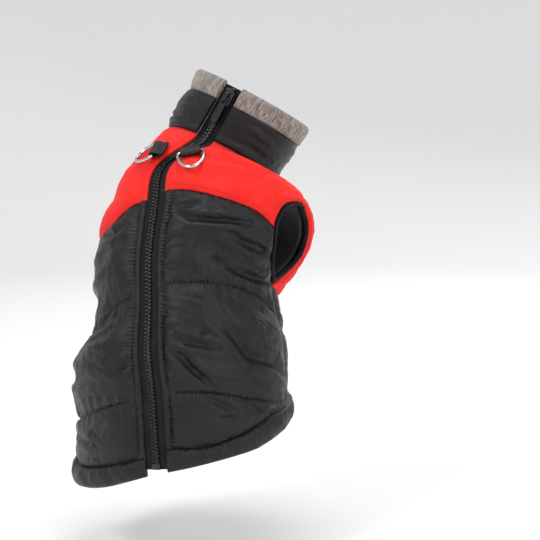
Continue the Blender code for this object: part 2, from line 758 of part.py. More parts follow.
def make_rings(materials):
    for side, row in RING_ROWS.items():
        ring = dict(zip(RING_COLUMNS, row))
        frame = frame_at(ring["angle"], ring["station"], ring["lift"], "x", flip=side == "right")
        frame = frame @ Matrix.Rotation(math.radians(-sign_of(side) * ring["heading"]), 4, "Z")
        droop = Matrix.Rotation(-math.radians(ring["droop"]), 4, "X")
        path = ring_path()
        sections = []
        for i, (x, y) in enumerate(path):
            before, after = path[i - 1], path[(i + 1) % len(path)]
            run = Vector((after[0] - before[0], after[1] - before[1], 0.0)).normalized()
            outward = Vector((run.y, -run.x, 0.0))
            sections.append([
                (Vector((x, y, 0.0)) + outward * RING_WIRE * math.cos(turn)
                 + Vector((0, 0, 1)) * RING_WIRE * math.sin(turn)) * MM
                for turn in (math.tau * k / 8 for k in range(8))])
        make_swept(f"d_ring_{side}", sections, materials["chrome"], closed=True, matrix=frame @ droop)
        make_webbing(side, frame, materials)


def make_webbing(side, frame, materials):
    """A strap folded round the ring's bar, both ends sewn down together beside the zip."""
    half = WEBBING_THICKNESS / 2
    bend = RING_WIRE + 0.45 + half
    middle = []
    for step in range(9):
        turn = math.radians(-90 + 180 * step / 8)
        middle.append((bend * math.cos(turn), bend * math.sin(turn)))
    under, over = -bend, -bend + WEBBING_THICKNESS + 0.25
    middle += [(-3.2, bend * 0.72), (-6.0, over + 0.35), (-WEBBING_REACH, over),
               (-WEBBING_REACH - 0.6, (under + over) / 2), (-WEBBING_REACH, under), (-5.0, under)]
    sections = []
    for i, (y, z) in enumerate(middle):
        before, after = middle[i - 1], middle[(i + 1) % len(middle)]
        run = Vector((after[0] - before[0], after[1] - before[1])).normalized()
        aside = Vector((run.y, -run.x)) * half
        outer, inner = Vector((y, z)) + aside, Vector((y, z)) - aside
        wide = WEBBING_HALF_WIDTH
        sections.append([Vector((x, p.x, p.y)) * MM for x, p in
                         ((-wide, inner), (wide, inner), (wide, outer), (-wide, outer))])
    make_swept(f"webbing_{side}", sections, materials["webbing"], closed=True, matrix=frame)


def make_bindings(materials):
    """The narrow binding that lines the edge of each armhole."""
    for side in ("left", "right"):
        sign = sign_of(side)
        sections = []
        for step in range(36):
            turn = math.tau * step / 36
            corners = []
            for inset, lift in ((1.6, -7.6), (1.6, -3.6), (4.0, -3.2), (5.0, -5.0), (4.0, -7.6)):
                reach = ARMHOLE_BACKWARD if math.cos(turn) < 0 else ARMHOLE_FORWARD
                height = ARMHOLE_UP if math.sin(turn) > 0 else ARMHOLE_DOWN
                power = 2 / ARMHOLE_POWER
                across = math.copysign(abs(math.cos(turn)) ** power, math.cos(turn))
                upward = math.copysign(abs(math.sin(turn)) ** power, math.sin(turn))
                angle = SIDE_ANGLE + (reach - inset / 1.45) * across
                corners.append((sign * angle, ARMHOLE_STATION + (height - inset * 1.35) * upward, lift))
            table = np.array(corners)
            sections.append(place(table[:, 0], table[:, 1], table[:, 2]))
        make_swept(f"armhole_binding_{side}", sections, materials["webbing"], closed=True)


def main():
    clear_scene()
    materials = {
        "nylon": make_material("black quilted nylon", BLACK_NYLON, 0.45),
        "red": make_material("red softshell", RED, 0.6),
        "webbing": make_material("black webbing", BLACK_WEBBING, 0.75),
        "fleece": make_material("black fleece", BLACK_FLEECE, 0.95),
        "grey": make_material("grey fleece", GREY_FLEECE, 0.95),
        "moulded": make_material("black moulded zip", BLACK_WEBBING, 0.25),
        "chrome": make_material("chrome", CHROME, 0.12, 1.0),
    }
    make_body(materials)
    make_hem(materials)
    make_red_panels(materials)
    make_lining(materials)
    make_collar(materials)
    make_zip(materials)
    make_slider(materials)
    make_rings(materials)
    make_bindings(materials)


main()
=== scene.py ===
import math

import bmesh
import bpy
import numpy as np
from mathutils import Matrix, Vector


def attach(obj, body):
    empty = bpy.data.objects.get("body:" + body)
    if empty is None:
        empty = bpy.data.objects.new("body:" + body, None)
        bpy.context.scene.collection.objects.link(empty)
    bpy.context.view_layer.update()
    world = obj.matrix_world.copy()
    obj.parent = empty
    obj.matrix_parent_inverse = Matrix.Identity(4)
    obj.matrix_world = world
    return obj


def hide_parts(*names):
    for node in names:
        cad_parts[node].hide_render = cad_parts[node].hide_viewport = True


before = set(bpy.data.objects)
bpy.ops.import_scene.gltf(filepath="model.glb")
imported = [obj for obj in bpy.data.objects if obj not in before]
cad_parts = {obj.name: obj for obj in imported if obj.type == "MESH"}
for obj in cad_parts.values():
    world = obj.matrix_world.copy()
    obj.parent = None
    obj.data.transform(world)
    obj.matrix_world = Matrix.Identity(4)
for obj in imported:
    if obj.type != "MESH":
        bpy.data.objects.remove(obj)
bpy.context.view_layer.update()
mm = 0.001
print("frame loaded")

# The jacket lies on one smooth form. A place on it is an angle round the body in degrees, 0 at the
# zip and positive to the wearer's right, and a station in millimetres up the back from the hem.
formColumns = ("station", "x", "y", "z", "left", "right", "back", "front", "lean", "tilt", "turn")
formRows = np.array((
    (-30, 2, 18, -258, 104, 96, 82, 78, 10, -6, 11),
    (10, 2, 18, -222, 97, 97, 84, 80, 12, -6, 10),
    (40, 0, 19, -194, 97, 99, 86, 82, 14, -5, 10),
    (75, -2, 22, -162, 97, 94, 86, 82, 16, -4, 8),
    (115, 1, 28, -126, 81, 86, 82, 82, 20, -4, 3),
    (155, -6, 38, -90, 82, 80, 80, 84, 24, -4, 3),
    (200, 0, 52, -52, 92, 92, 80, 92, 28, -2, -4),
    (240, 6, 66, -18, 85, 91, 74, 96, 30, 4, -13),
    (270, 8, 78, 6, 71, 80, 60, 82, 28, 12, -6),
    (295, 3, 88, 23, 57, 57, 50, 56, 22, 20, 0),
    (322, 15, 94, 47, 55, 56, 50, 54, 18, 23, 0),
    (350, 28, 99, 71, 57, 58, 52, 55, 15, 25, 0),
), float)

# Seams, as rows of angle and station.
hemEdge = (
    (-180, 70), (-150, 63), (-130, 48), (-110, 27), (-98, 10), (-85, -8), (-72, -23), (-60, -31),
    (-46, -34), (-30, -33), (-15, -28), (-5, -24), (5, -21), (18, -17), (31, -12), (43, -7),
    (56, -1), (74, 12), (85, 21), (98, 33), (110, 43), (130, 57), (150, 66), (180, 70),
)
hemStitch = (
    (-180, 88), (-150, 81), (-130, 66), (-110, 45), (-98, 28), (-85, 9), (-70, -6), (-56, -13),
    (-40, -15), (-24, -13), (-7, -8), (7, 0), (21, 0), (31, 3), (41, 9), (50, 15), (58, 22),
    (68, 31), (87, 42), (98, 51), (110, 61), (130, 75), (150, 84), (180, 88),
)
lowerQuilt = (
    (-98, 36), (-75, 28), (-54, 28), (-33, 33), (-16, 37.5), (-7, 40.5), (7, 45), (28, 47.5),
    (51, 45), (64, 44.5), (85, 48), (98, 56),
)
upperQuilt = (
    (-180, 122), (-130, 112), (-98, 104), (-80, 100), (-60, 100), (-41, 106.5), (-31, 114),
    (-20, 121), (-7, 124), (7, 132), (25, 137), (45, 140), (66, 141), (80, 139), (90, 133.5),
    (98, 127), (130, 122), (180, 122),
)
yokeSeam = (
    (-98, 186), (-51, 186), (-33, 189.5), (-24, 196), (-17, 201), (-6, 204), (6, 211.5),
    (38, 211.5), (48, 210), (61, 207), (74, 200), (98, 200),
)
cut = {
    "sideAngle": 98.0, "armholeStation": 203.0, "armholeBackward": 25.0, "armholeForward": 22.0,
    "armholeUp": 47.0, "armholeDown": 45.0, "armholePower": 1.5, "neckStation": 295.0,
    "shoulderAtNeck": 90.0, "yokeCorner": {"right": 199.0, "left": 187.0},
    "zipHalfBand": 8.3, "halfSeam": 0.05, "halfSeamDegrees": 0.04,
    "flatDegree": 1.45,  # millimetres of flat cloth to a degree round the body
}
chestSeam = cut["armholeStation"] - cut["armholeDown"]
sides = {"left": -1.0, "right": 1.0}


def smoothTable(stations, values, at):
    stations, values, at = (np.asarray(item, float) for item in (stations, values, at))
    steps = np.diff(stations)
    rises = np.diff(values) / steps
    slopes = np.empty_like(values)
    slopes[1:-1] = (rises[:-1] * steps[1:] + rises[1:] * steps[:-1]) / (steps[1:] + steps[:-1])
    slopes[0], slopes[-1] = rises[0], rises[-1]
    row = np.clip(np.searchsorted(stations, at, side="right") - 1, 0, len(steps) - 1)
    width = steps[row]
    part = np.clip((at - stations[row]) / width, 0.0, 1.0)
    beyond = at - np.clip(at, stations[0], stations[-1])
    square, cube = part ** 2, part ** 3
    return (
        (2 * cube - 3 * square + 1) * values[row] + (cube - 2 * square + part) * width * slopes[row]
        + (3 * square - 2 * cube) * values[row + 1] + (cube - square) * width * slopes[row + 1]
        + beyond * np.where(beyond < 0, slopes[0], slopes[-1])
    )


def ringValue(column, station):
    return smoothTable(formRows[:, 0], formRows[:, formColumns.index(column)], station)


def formPoint(angle, station):
    angle, station = np.broadcast_arrays(np.asarray(angle, float), np.asarray(station, float))
    turned = np.radians(angle + ringValue("turn", station))
    lean, tilt = np.radians(ringValue("lean", station)), np.radians(ringValue("tilt", station))
    side, depth = np.sin(turned), np.cos(turned)
    halfWidth = np.where(side > 0, ringValue("right", station), ringValue("left", station))
    halfDepth = np.where(depth > 0, ringValue("back", station), ringValue("front", station))
    across = np.stack([np.cos(tilt), 0 * tilt, -np.sin(tilt)], -1)
    forward = np.stack(
        [-np.sin(lean) * np.sin(tilt), np.cos(lean), -np.sin(lean) * np.cos(tilt)], -1)
    centre = np.stack([ringValue(axis, station) for axis in "xyz"], -1)
    return centre + (halfWidth * side)[..., None] * across - (halfDepth * depth)[..., None] * forward


def formTangents(angle, station):
    angle, station = np.broadcast_arrays(np.asarray(angle, float), np.asarray(station, float))
    around = formPoint(angle + 0.5, station) - formPoint(angle - 0.5, station)
    up = formPoint(angle, station + 1.0) - formPoint(angle, station - 1.0)
    out = np.cross(around, up)
    return tuple(v / np.linalg.norm(v, axis=-1, keepdims=True) for v in (around, up, out))


def place(angle, station, lift):
    out = formTangents(angle, station)[2]
    return (formPoint(angle, station) + out * np.asarray(lift, float)[..., None]) * mm


def wrapped(angle):
    return (np.asarray(angle, float) + 180.0) % 360.0 - 180.0


def lineStation(line, angle):
    table = np.array(line, float)
    return smoothTable(table[:, 0], table[:, 1], np.clip(wrapped(angle), table[0, 0], table[-1, 0]))


def mmPerDegree(station):
    return np.radians(1.0) * ringValue("back", station)


def zipAngle(station, width=cut["zipHalfBand"]):
    return width / mmPerDegree(station)


def armholeReach(station):
    away = np.asarray(station, float) - cut["armholeStation"]
    share = np.clip(np.abs(away) / np.where(away > 0, cut["armholeUp"], cut["armholeDown"]), 0, 1)
    return np.clip(1 - share ** cut["armholePower"], 0, 1) ** (1 / cut["armholePower"])


def armholeFloor(angle):
    share = np.clip((cut["sideAngle"] - np.abs(angle)) / cut["armholeBackward"], 0, 1)
    drop = np.clip(1 - share ** cut["armholePower"], 0, 1) ** (1 / cut["armholePower"])
    return np.where(share < 1, cut["armholeStation"] - cut["armholeDown"] * drop, np.inf)


def shoulderAngle(station):
    top = cut["armholeStation"] + cut["armholeUp"]
    share = np.clip((np.asarray(station, float) - top) / (cut["neckStation"] - top), 0, 1)
    return cut["sideAngle"] + (cut["shoulderAtNeck"] - cut["sideAngle"]) * share


def backEdge(station):
    return shoulderAngle(station) - cut["armholeBackward"] * armholeReach(station)


def frontEdge(station):
    return shoulderAngle(station) + cut["armholeForward"] * armholeReach(station)


latticeCells = 64  # soft noise repeats after this many cells


def softNoise(x, y, seed):
    # smooth random values from -1 to 1
    lattice = np.random.RandomState(seed).rand(latticeCells, latticeCells) * 2 - 1
    x, y = np.broadcast_arrays(np.asarray(x, float), np.asarray(y, float))
    cellX, cellY = np.floor(x).astype(int), np.floor(y).astype(int)
    partX, partY = x - cellX, y - cellY
    partX, partY = partX ** 2 * (3 - 2 * partX), partY ** 2 * (3 - 2 * partY)
    x0, x1 = cellX % latticeCells, (cellX + 1) % latticeCells
    y0, y1 = cellY % latticeCells, (cellY + 1) % latticeCells
    low = lattice[x0, y0] * (1 - partX) + lattice[x1, y0] * partX
    high = lattice[x0, y1] * (1 - partX) + lattice[x1, y1] * partX
    return low * (1 - partY) + high * partY


creaseShape = {
    "leastSwell": 0.3, "swellPower": 0.7, "narrowing": 0.88,
    "ridge": 0.34, "ridgeAt": 2.0, "ridgeWidth": 0.9,  # the raised cloth beside a fold
}


def creaseLift(creases, angle, station, depth=1.0):
    # each crease is a path of angle and station pairs, a half width and a lift in millimetres
    total = np.zeros(angle.shape)
    x, y = angle * cut["flatDegree"], station
    for path, halfWidth, lift in creases:
        points = np.array(path, float) * (cut["flatDegree"], 1.0)
        lengths = np.linalg.norm(np.diff(points, axis=0), axis=1)
        passed = np.concatenate([[0], np.cumsum(lengths)])
        nearest = np.full(angle.shape, np.inf)
        along = np.zeros(angle.shape)
        for start, end, before, length in zip(points[:-1], points[1:], passed, lengths):
            run = (end - start) / length
            step = np.clip((x - start[0]) * run[0] + (y - start[1]) * run[1], 0, length)
            gap = np.hypot(x - start[0] - step * run[0], y - start[1] - step * run[1])
            closer = gap < nearest
            nearest = np.where(closer, gap, nearest)
            along = np.where(closer, (before + step) / passed[-1], along)
        swell = np.sin(math.pi * along) ** creaseShape["swellPower"]
        swell = creaseShape["leastSwell"] + (1 - creaseShape["leastSwell"]) * swell
        share = nearest / (halfWidth * creaseShape["narrowing"])
        ridge = np.exp(-((share - creaseShape["ridgeAt"]) / creaseShape["ridgeWidth"]) ** 2)
        total += lift * swell * (np.exp(-share ** 2) - creaseShape["ridge"] * ridge)
    return total * depth


gatherShape = {
    "slant": 0.35, "slantLength": 23.0, "fade": 30.0, "fine": 0.5, "finePitch": 2.1,
    "uneven": 0.6, "unevenLength": 15.0, "start": 1.2,
}


def puckers(distance, along, seed, height, reach, pitch):
    # gathers that run away from a sewn line, uneven in spacing and length
    shape = gatherShape
    near = np.clip(distance, 0, None)
    slant = along + near * shape["slant"] * softNoise(along / shape["slantLength"], 0.5, seed + 5)
    wave = softNoise(slant / pitch, near / shape["fade"], seed)
    wave = wave + shape["fine"] * softNoise(slant / pitch * shape["finePitch"], 3.5, seed + 1)
    length = reach * (1.0 + shape["uneven"] * softNoise(along / shape["unevenLength"], 7.5, seed + 2))
    return height * wave * (near / (near + shape["start"])) * np.exp(-near / length)


thinCreaseShape = {
    "rows": ((46.0, 12.0, 0.1), (34.0, 9.0, -0.22), (26.0, 11.0, 0.4)),  # length, height, slant
    "patchLength": 34.0, "patchHeight": 26.0, "gain": 1.6, "base": 0.25, "sharpness": 7,
}


def thinCreases(along, station, seed, depth):
    # fine troughs that wander mostly round the body and come and go
    shape = thinCreaseShape
    total = np.zeros_like(along)
    for number, (wide, tall, slant) in enumerate(shape["rows"]):
        slanted = station + slant * along
        wander = np.abs(softNoise(along / wide, slanted / tall, seed + number))
        patch = softNoise(along / shape["patchLength"], slanted / shape["patchHeight"],
                          seed + 10 + number)
        shown = np.clip(shape["gain"] * patch + shape["base"], 0, 1)
        total -= depth * shown * (1 - np.clip(wander, 0, 1)) ** shape["sharpness"]
    return total


def rumpled(along, station, seed, broad, crossed):
    # broad waves and slanting ones, each as a height and two lengths
    return (broad[0] * softNoise(along / broad[1], station / broad[2], seed)
            + crossed[0] * softNoise((along + station) / crossed[1], (station - along) / crossed[2],
                                     seed + 1))


def rounded(distance, softness):
    return 1 - np.exp(-np.clip(distance, 0, None) / softness)


def addPiece(name, maker, material, body="jacket", sharpDegrees=45):
    bmesh.ops.recalc_face_normals(maker, faces=maker.faces[:])
    if maker.calc_volume(signed=True) < 0:
        bmesh.ops.reverse_faces(maker, faces=maker.faces[:])
    mesh = bpy.data.meshes.new(name)
    maker.to_mesh(mesh)
    maker.free()
    mesh.materials.append(material)
    mesh.shade_smooth()
    mesh.set_sharp_from_angle(angle=math.radians(sharpDegrees))
    piece = bpy.data.objects.new(name, mesh)
    bpy.context.scene.collection.objects.link(piece)
    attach(piece, body)
    return piece


def moveTo(vertices, points):
    for vertex, point in zip(vertices, points):
        vertex.co = point


sewnMeeting = {"height": 14.0, "width": 1.8, "farAway": 1000.0}


def nearestLine(distances, angle, station):
    gaps = [np.abs(distanceFrom(angle, station)) for distanceFrom in distances]
    return np.min([np.full_like(station, sewnMeeting["farAway"])] + gaps, axis=0)


def sewnField(across, upward):
    # how far the nearest sewn line is, and the way along it, both in millimetres; the lines in
    # across run round the body and those in upward run up it, and neither counts where they meet
    def field(angle, station):
        around, up = (nearestLine(lines, angle, station) for lines in (across, upward))
        meeting = sewnMeeting["height"] * np.exp(-((around - up) / sewnMeeting["width"]) ** 2)
        along = np.where(around < up, angle * cut["flatDegree"], station)
        return np.minimum(around, up) + meeting, along

    return field


def panelPiece(name, faces, outline, outerLift, innerLift, material, sewn=None):
    # a wall: a grid on the form, extruded to its outer face, with its UV in metres along the cloth
    maker = bmesh.new()
    labels = ("seamAway", "seamAlong") if sewn else ()
    for label in labels:
        maker.verts.layers.float.new(label)
    seamLayers = [maker.verts.layers.float[label] for label in labels]
    bmesh.ops.create_grid(maker, x_segments=faces[0], y_segments=faces[1], size=1.0)
    flat = np.array([vertex.co[:] for vertex in maker.verts])
    angle, station = outline((flat[:, 0] + 1) / 2, (flat[:, 1] + 1) / 2)
    innerVertices = list(maker.verts)
    grown = bmesh.ops.extrude_face_region(maker, geom=maker.faces[:], use_keep_orig=True)
    outerVertices = [part for part in grown["geom"] if isinstance(part, bmesh.types.BMVert)]
    order = {tuple(round(c, 6) for c in vertex.co): i for i, vertex in enumerate(innerVertices)}
    matching = [order[tuple(round(c, 6) for c in vertex.co)] for vertex in outerVertices]
    moveTo(outerVertices, place(angle, station, outerLift(angle, station))[matching])
    inside = innerLift(angle, station) if callable(innerLift) else np.full_like(angle, innerLift)
    moveTo(innerVertices, place(angle, station, inside))
    spot = {vertex: i for i, vertex in enumerate(innerVertices)}
    spot.update(zip(outerVertices, matching))
    uvLayer = maker.loops.layers.uv.new("UVMap")
    for face in maker.faces:
        for loop in face.loops:
            i = spot[loop.vert]
            loop[uvLayer].uv = (angle[i] * cut["flatDegree"] * mm, station[i] * mm)
    if sewn:
        for layer, values in zip(seamLayers, sewn(angle, station)):
            for vertex, i in spot.items():
                vertex[layer] = values[i]
    return addPiece(name, maker, material)


def sweptPiece(name, sections, material, closed=False, body="jacket", sharpDegrees=45):
    # a solid through equal loops of points, by repeated extrusion; U runs round, V along
    maker = bmesh.new()
    uvLayer = maker.loops.layers.uv.new("UVMap")
    count = len(sections[0])
    bmesh.ops.create_circle(maker, cap_ends=False, segments=count, radius=1.0)
    firstLoop, firstEdges = list(maker.verts), list(maker.edges)
    moveTo(firstLoop, sections[0])
    loopEdges, loopOrder = firstEdges, firstLoop
    travelled, around = 0.0, np.zeros(count)
    loop = np.array([tuple(p) for p in sections[0]])
    around[1:] = np.cumsum(np.linalg.norm(np.diff(loop, axis=0), axis=1))
    spot = {vertex: (around[i], 0.0) for i, vertex in enumerate(firstLoop)}
    if not closed:
        bmesh.ops.contextual_create(maker, geom=firstEdges)
    for before, section in zip(sections[:-1], sections[1:]):
        grown = bmesh.ops.extrude_edge_only(maker, edges=loopEdges)
        fresh = {part for part in grown["geom"] if isinstance(part, bmesh.types.BMVert)}
        loopEdges = [part for part in grown["geom"] if isinstance(part, bmesh.types.BMEdge)
                     and part.verts[0] in fresh and part.verts[1] in fresh]
        loopOrder = [next(edge.other_vert(vertex) for edge in vertex.link_edges
                          if edge.other_vert(vertex) in fresh) for vertex in loopOrder]
        moveTo(loopOrder, section)
        travelled += float(np.linalg.norm(np.mean([tuple(p) for p in section], axis=0)
                                          - np.mean([tuple(p) for p in before], axis=0)))
        spot.update({vertex: (around[i], travelled) for i, vertex in enumerate(loopOrder)})
    if closed:
        bmesh.ops.bridge_loops(maker, edges=firstEdges + loopEdges)
    else:
        bmesh.ops.contextual_create(maker, geom=loopEdges)
    for face in maker.faces:
        for corner in face.loops:
            corner[uvLayer].uv = spot[corner.vert]
    return addPiece(name, maker, material, body, sharpDegrees)


def frameAt(angle, station, lift, flip=False):
    # local z points out, and local x up the back, or down it when flipped
    around, up, out = (Vector(v) for v in formTangents(angle, station))
    up = -up if flip else up
    matrix = Matrix((up, out.cross(up), out)).transposed().to_4x4()
    matrix.translation = Vector(place(angle, station, np.asarray(lift)))
    return matrix


def newMaterial(name, roughness, metallic=0.0, sheen=0.0, sheenRoughness=0.5, coat=0.0, specular=0.5):
    material = bpy.data.materials.new(name)
    material.use_nodes = True
    shader = material.node_tree.nodes["Principled BSDF"]
    shader.inputs["Roughness"].default_value = roughness
    shader.inputs["Metallic"].default_value = metallic
    shader.inputs["Sheen Weight"].default_value = sheen
    shader.inputs["Sheen Roughness"].default_value = sheenRoughness
    shader.inputs["Coat Weight"].default_value = coat
    shader.inputs["Specular IOR Level"].default_value = specular
    return material, material.node_tree, shader


def newGroup(name, inputs, outputs):
    group = bpy.data.node_groups.new(name, "ShaderNodeTree")
    for label, kind, value in inputs:
        socket = group.interface.new_socket(name=label, in_out="INPUT", socket_type=kind)
        if value is not None:
            socket.default_value = value
    for label, kind in outputs:
        group.interface.new_socket(name=label, in_out="OUTPUT", socket_type=kind)
    start, end = group.nodes.new("NodeGroupInput"), group.nodes.new("NodeGroupOutput")
    return group, start, end


def node(tree, kind, settings=(), **values):
    item = tree.nodes.new(kind)
    for key, value in dict(settings).items():
        setattr(item, key, value)
    for key, value in values.items():
        item.inputs[key].default_value = value
    return item


def link(tree, source, target):
    tree.links.new(source, target)


def mathNode(tree, operation, first, second=None):
    item = node(tree, "ShaderNodeMath", {"operation": operation})
    for socket, value in zip(item.inputs, (first, second)):
        if isinstance(value, (int, float)):
            socket.default_value = value
        elif value is not None:
            link(tree, value, socket)
    return item.outputs[0]


def weaveGroup():
    # crossed threads on UV in metres: a height from 0 to 1
    group, start, end = newGroup(
        "weave", (("UV", "NodeSocketVector", None), ("Threads", "NodeSocketFloat", 1500.0),
                  ("Slant", "NodeSocketFloat", 0.0)), (("Height", "NodeSocketFloat"),))
    parts = node(group, "ShaderNodeSeparateXYZ")
    link(group, start.outputs["UV"], parts.inputs[0])
    slanted = mathNode(group, "ADD", parts.outputs[0],
                       mathNode(group, "MULTIPLY", parts.outputs[1], start.outputs["Slant"]))
    waves = []
    for value in (slanted, parts.outputs[1]):
        threads = mathNode(group, "MULTIPLY", value, start.outputs["Threads"])
        waves.append(mathNode(group, "SINE", mathNode(group, "MULTIPLY", threads, math.tau)))
    height = mathNode(group, "MULTIPLY", waves[0], waves[1])
    height = mathNode(group, "ADD", mathNode(group, "MULTIPLY", height, 0.5), 0.5)
    link(group, height, end.inputs["Height"])
    return group


napMix = {"Height": (0.6, 0.7), "Fibres": (0.45, 0.55)}  # shares of the fine and the patchy noise


def napGroup():
    # brushed pile: a height and a mask of darker and lighter fibres, drawn out along one direction
    group, start, end = newGroup(
        "nap", (("Vector", "NodeSocketVector", None), ("Scale", "NodeSocketFloat", 900.0),
                ("Patch Scale", "NodeSocketFloat", 120.0)),
        (("Height", "NodeSocketFloat"), ("Fibres", "NodeSocketFloat")))
    fine = node(group, "ShaderNodeTexNoise", Detail=5.0, Roughness=0.65)
    patch = node(group, "ShaderNodeTexNoise", Detail=3.0, Roughness=0.6, Distortion=1.2)
    for texture, scale in ((fine, "Scale"), (patch, "Patch Scale")):
        link(group, start.outputs["Vector"], texture.inputs["Vector"])
        link(group, start.outputs[scale], texture.inputs["Scale"])
    for label, shares in napMix.items():
        parts = [mathNode(group, "MULTIPLY", texture.outputs["Fac"], share)
                 for texture, share in zip((fine, patch), shares)]
        link(group, mathNode(group, "ADD", *parts), end.inputs[label])
    return group


def variationGroup():
    # slow change over the cloth, for colour and roughness
    group, start, end = newGroup(
        "variation", (("Scale", "NodeSocketFloat", 30.0), ("Low", "NodeSocketFloat", 0.9),
                      ("High", "NodeSocketFloat", 1.1)), (("Value", "NodeSocketFloat"),))
    spot = node(group, "ShaderNodeTexCoord")
    texture = node(group, "ShaderNodeTexNoise", Detail=4.0, Roughness=0.6)
    link(group, spot.outputs["Object"], texture.inputs["Vector"])
    link(group, start.outputs["Scale"], texture.inputs["Scale"])
    spread = node(group, "ShaderNodeMapRange", {"clamp": True})
    spread.inputs["From Min"].default_value = 0.32
    spread.inputs["From Max"].default_value = 0.68
    link(group, texture.outputs["Fac"], spread.inputs["Value"])
    link(group, start.outputs["Low"], spread.inputs["To Min"])
    link(group, start.outputs["High"], spread.inputs["To Max"])
    link(group, spread.outputs[0], end.inputs["Value"])
    return group


groups = {"weave": weaveGroup(), "nap": napGroup(), "variation": variationGroup()}


def groupNode(tree, name, **values):
    item = tree.nodes.new("ShaderNodeGroup")
    item.node_tree = groups[name]
    for key, value in values.items():
        item.inputs[key].default_value = value
    return item


def colourMix(tree, factor, low, high):
    mix = node(tree, "ShaderNodeMix", {"data_type": "RGBA"})
    link(tree, factor, mix.inputs["Factor"])
    mix.inputs["A"].default_value = (*low, 1.0)
    mix.inputs["B"].default_value = (*high, 1.0)
    return mix.outputs["Result"]


def addBumps(tree, shader, bumps):
    # bumps: rows of height output, distance in metres, strength
    normal = None
    for height, distance, strength in bumps:
        bump = node(tree, "ShaderNodeBump", Distance=distance, Strength=strength)
        link(tree, height, bump.inputs["Height"])
        if normal is not None:
            link(tree, normal, bump.inputs["Normal"])
        normal = bump.outputs["Normal"]
    link(tree, normal, shader.inputs["Normal"])


def seamPuckers(tree, pitch=3.1, reach=2.4):
    # small gathers between stitches, from the distance to the sewn line and the way along it
    away = node(tree, "ShaderNodeAttribute", {"attribute_name": "seamAway"}).outputs["Fac"]
    along = node(tree, "ShaderNodeAttribute", {"attribute_name": "seamAlong"}).outputs["Fac"]
    wave = mathNode(tree, "SINE", mathNode(tree, "MULTIPLY", along, math.tau / pitch))
    slow = mathNode(tree, "SINE", mathNode(tree, "MULTIPLY", along, math.tau / (pitch * 2.7)))
    wave = mathNode(tree, "ADD", wave, mathNode(tree, "MULTIPLY", slow, 0.5))
    fade = mathNode(tree, "EXPONENT", mathNode(tree, "MULTIPLY", away, -1 / reach))
    return mathNode(tree, "MULTIPLY", wave, fade)


clothRelief = {
    "driftScale": 38.0, "glossScale": 90.0, "glossSpread": 0.12,
    "creaseStrength": 0.8, "weaveStrength": 0.6, "puckerStrength": 0.9, "streakStrength": 0.8,
    "streakScale": (150.0, 950.0, 1.0),
}


def clothMaterial(name, low, high, roughness, threads, weaveDepth, crinkle, slant=0.0, pucker=0.0,
                  streak=0.0, **finish):
    # woven cloth: thread relief, small crinkles, and a little change of colour and gloss
    material, tree, shader = newMaterial(name, roughness, **finish)
    spot = node(tree, "ShaderNodeTexCoord")
    weave = groupNode(tree, "weave", Threads=threads, Slant=slant)
    link(tree, spot.outputs["UV"], weave.inputs["UV"])
    drift = groupNode(tree, "variation", Scale=clothRelief["driftScale"], Low=0.0, High=1.0)
    link(tree, colourMix(tree, drift.outputs[0], low, high), shader.inputs["Base Color"])
    gloss = groupNode(tree, "variation", Scale=clothRelief["glossScale"],
                      Low=roughness * (1 - clothRelief["glossSpread"]),
                      High=min(1, roughness * (1 + clothRelief["glossSpread"])))
    link(tree, gloss.outputs[0], shader.inputs["Roughness"])
    creased = node(tree, "ShaderNodeTexNoise", Scale=crinkle["scale"], Detail=5.0, Roughness=0.55,
                   Distortion=crinkle["distortion"])
    link(tree, spot.outputs["Object"], creased.inputs["Vector"])
    bumps = [(creased.outputs["Fac"], crinkle["depth"], clothRelief["creaseStrength"]),
             (weave.outputs[0], weaveDepth, clothRelief["weaveStrength"])]
    if pucker:
        bumps.append((seamPuckers(tree), pucker, clothRelief["puckerStrength"]))
    if streak:
        drawn = node(tree, "ShaderNodeMapping", Scale=clothRelief["streakScale"])
        link(tree, spot.outputs["UV"], drawn.inputs["Vector"])
        streaks = node(tree, "ShaderNodeTexNoise", Scale=1.0, Detail=4.0, Roughness=0.6)
        link(tree, drawn.outputs[0], streaks.inputs["Vector"])
        bumps.append((streaks.outputs["Fac"], streak, clothRelief["streakStrength"]))
    addBumps(tree, shader, bumps)
    return material


fleeceNap = {"turn": -38, "scale": 1500.0, "patchScale": 330.0, "depth": 0.0011, "strength": 0.9}


def fleeceMaterial(name, low, high, stretch, contrast):
    # brushed pile whose fibres lie aslant; the contrast sets how sharply light and dark part
    material, tree, shader = newMaterial(name, 0.95, sheen=0.35, sheenRoughness=0.6, specular=0.15)
    spot = node(tree, "ShaderNodeTexCoord")
    turned = node(tree, "ShaderNodeMapping", Rotation=(0, 0, math.radians(fleeceNap["turn"])),
                  Scale=stretch)
    link(tree, spot.outputs["UV"], turned.inputs["Vector"])
    nap = groupNode(tree, "nap", Scale=fleeceNap["scale"])
    nap.inputs["Patch Scale"].default_value = fleeceNap["patchScale"]
    link(tree, turned.outputs[0], nap.inputs["Vector"])
    spread = node(tree, "ShaderNodeMapRange", {"clamp": True})
    spread.inputs["From Min"].default_value = 0.5 - contrast
    spread.inputs["From Max"].default_value = 0.5 + contrast
    link(tree, nap.outputs["Fibres"], spread.inputs["Value"])
    link(tree, colourMix(tree, spread.outputs[0], low, high), shader.inputs["Base Color"])
    addBumps(tree, shader, ((nap.outputs["Height"], fleeceNap["depth"], fleeceNap["strength"]),))
    return material


hardware = {
    # each gloss is the scale of its change, and the lowest and highest roughness
    "plasticColour": (0.006, 0.006, 0.007), "plasticGloss": (400.0, 0.14, 0.28),
    "chromeLow": (0.50, 0.50, 0.52), "chromeHigh": (0.66, 0.66, 0.68), "chromeScale": 260.0,
    "chromeGloss": (520.0, 0.05, 0.16),
}


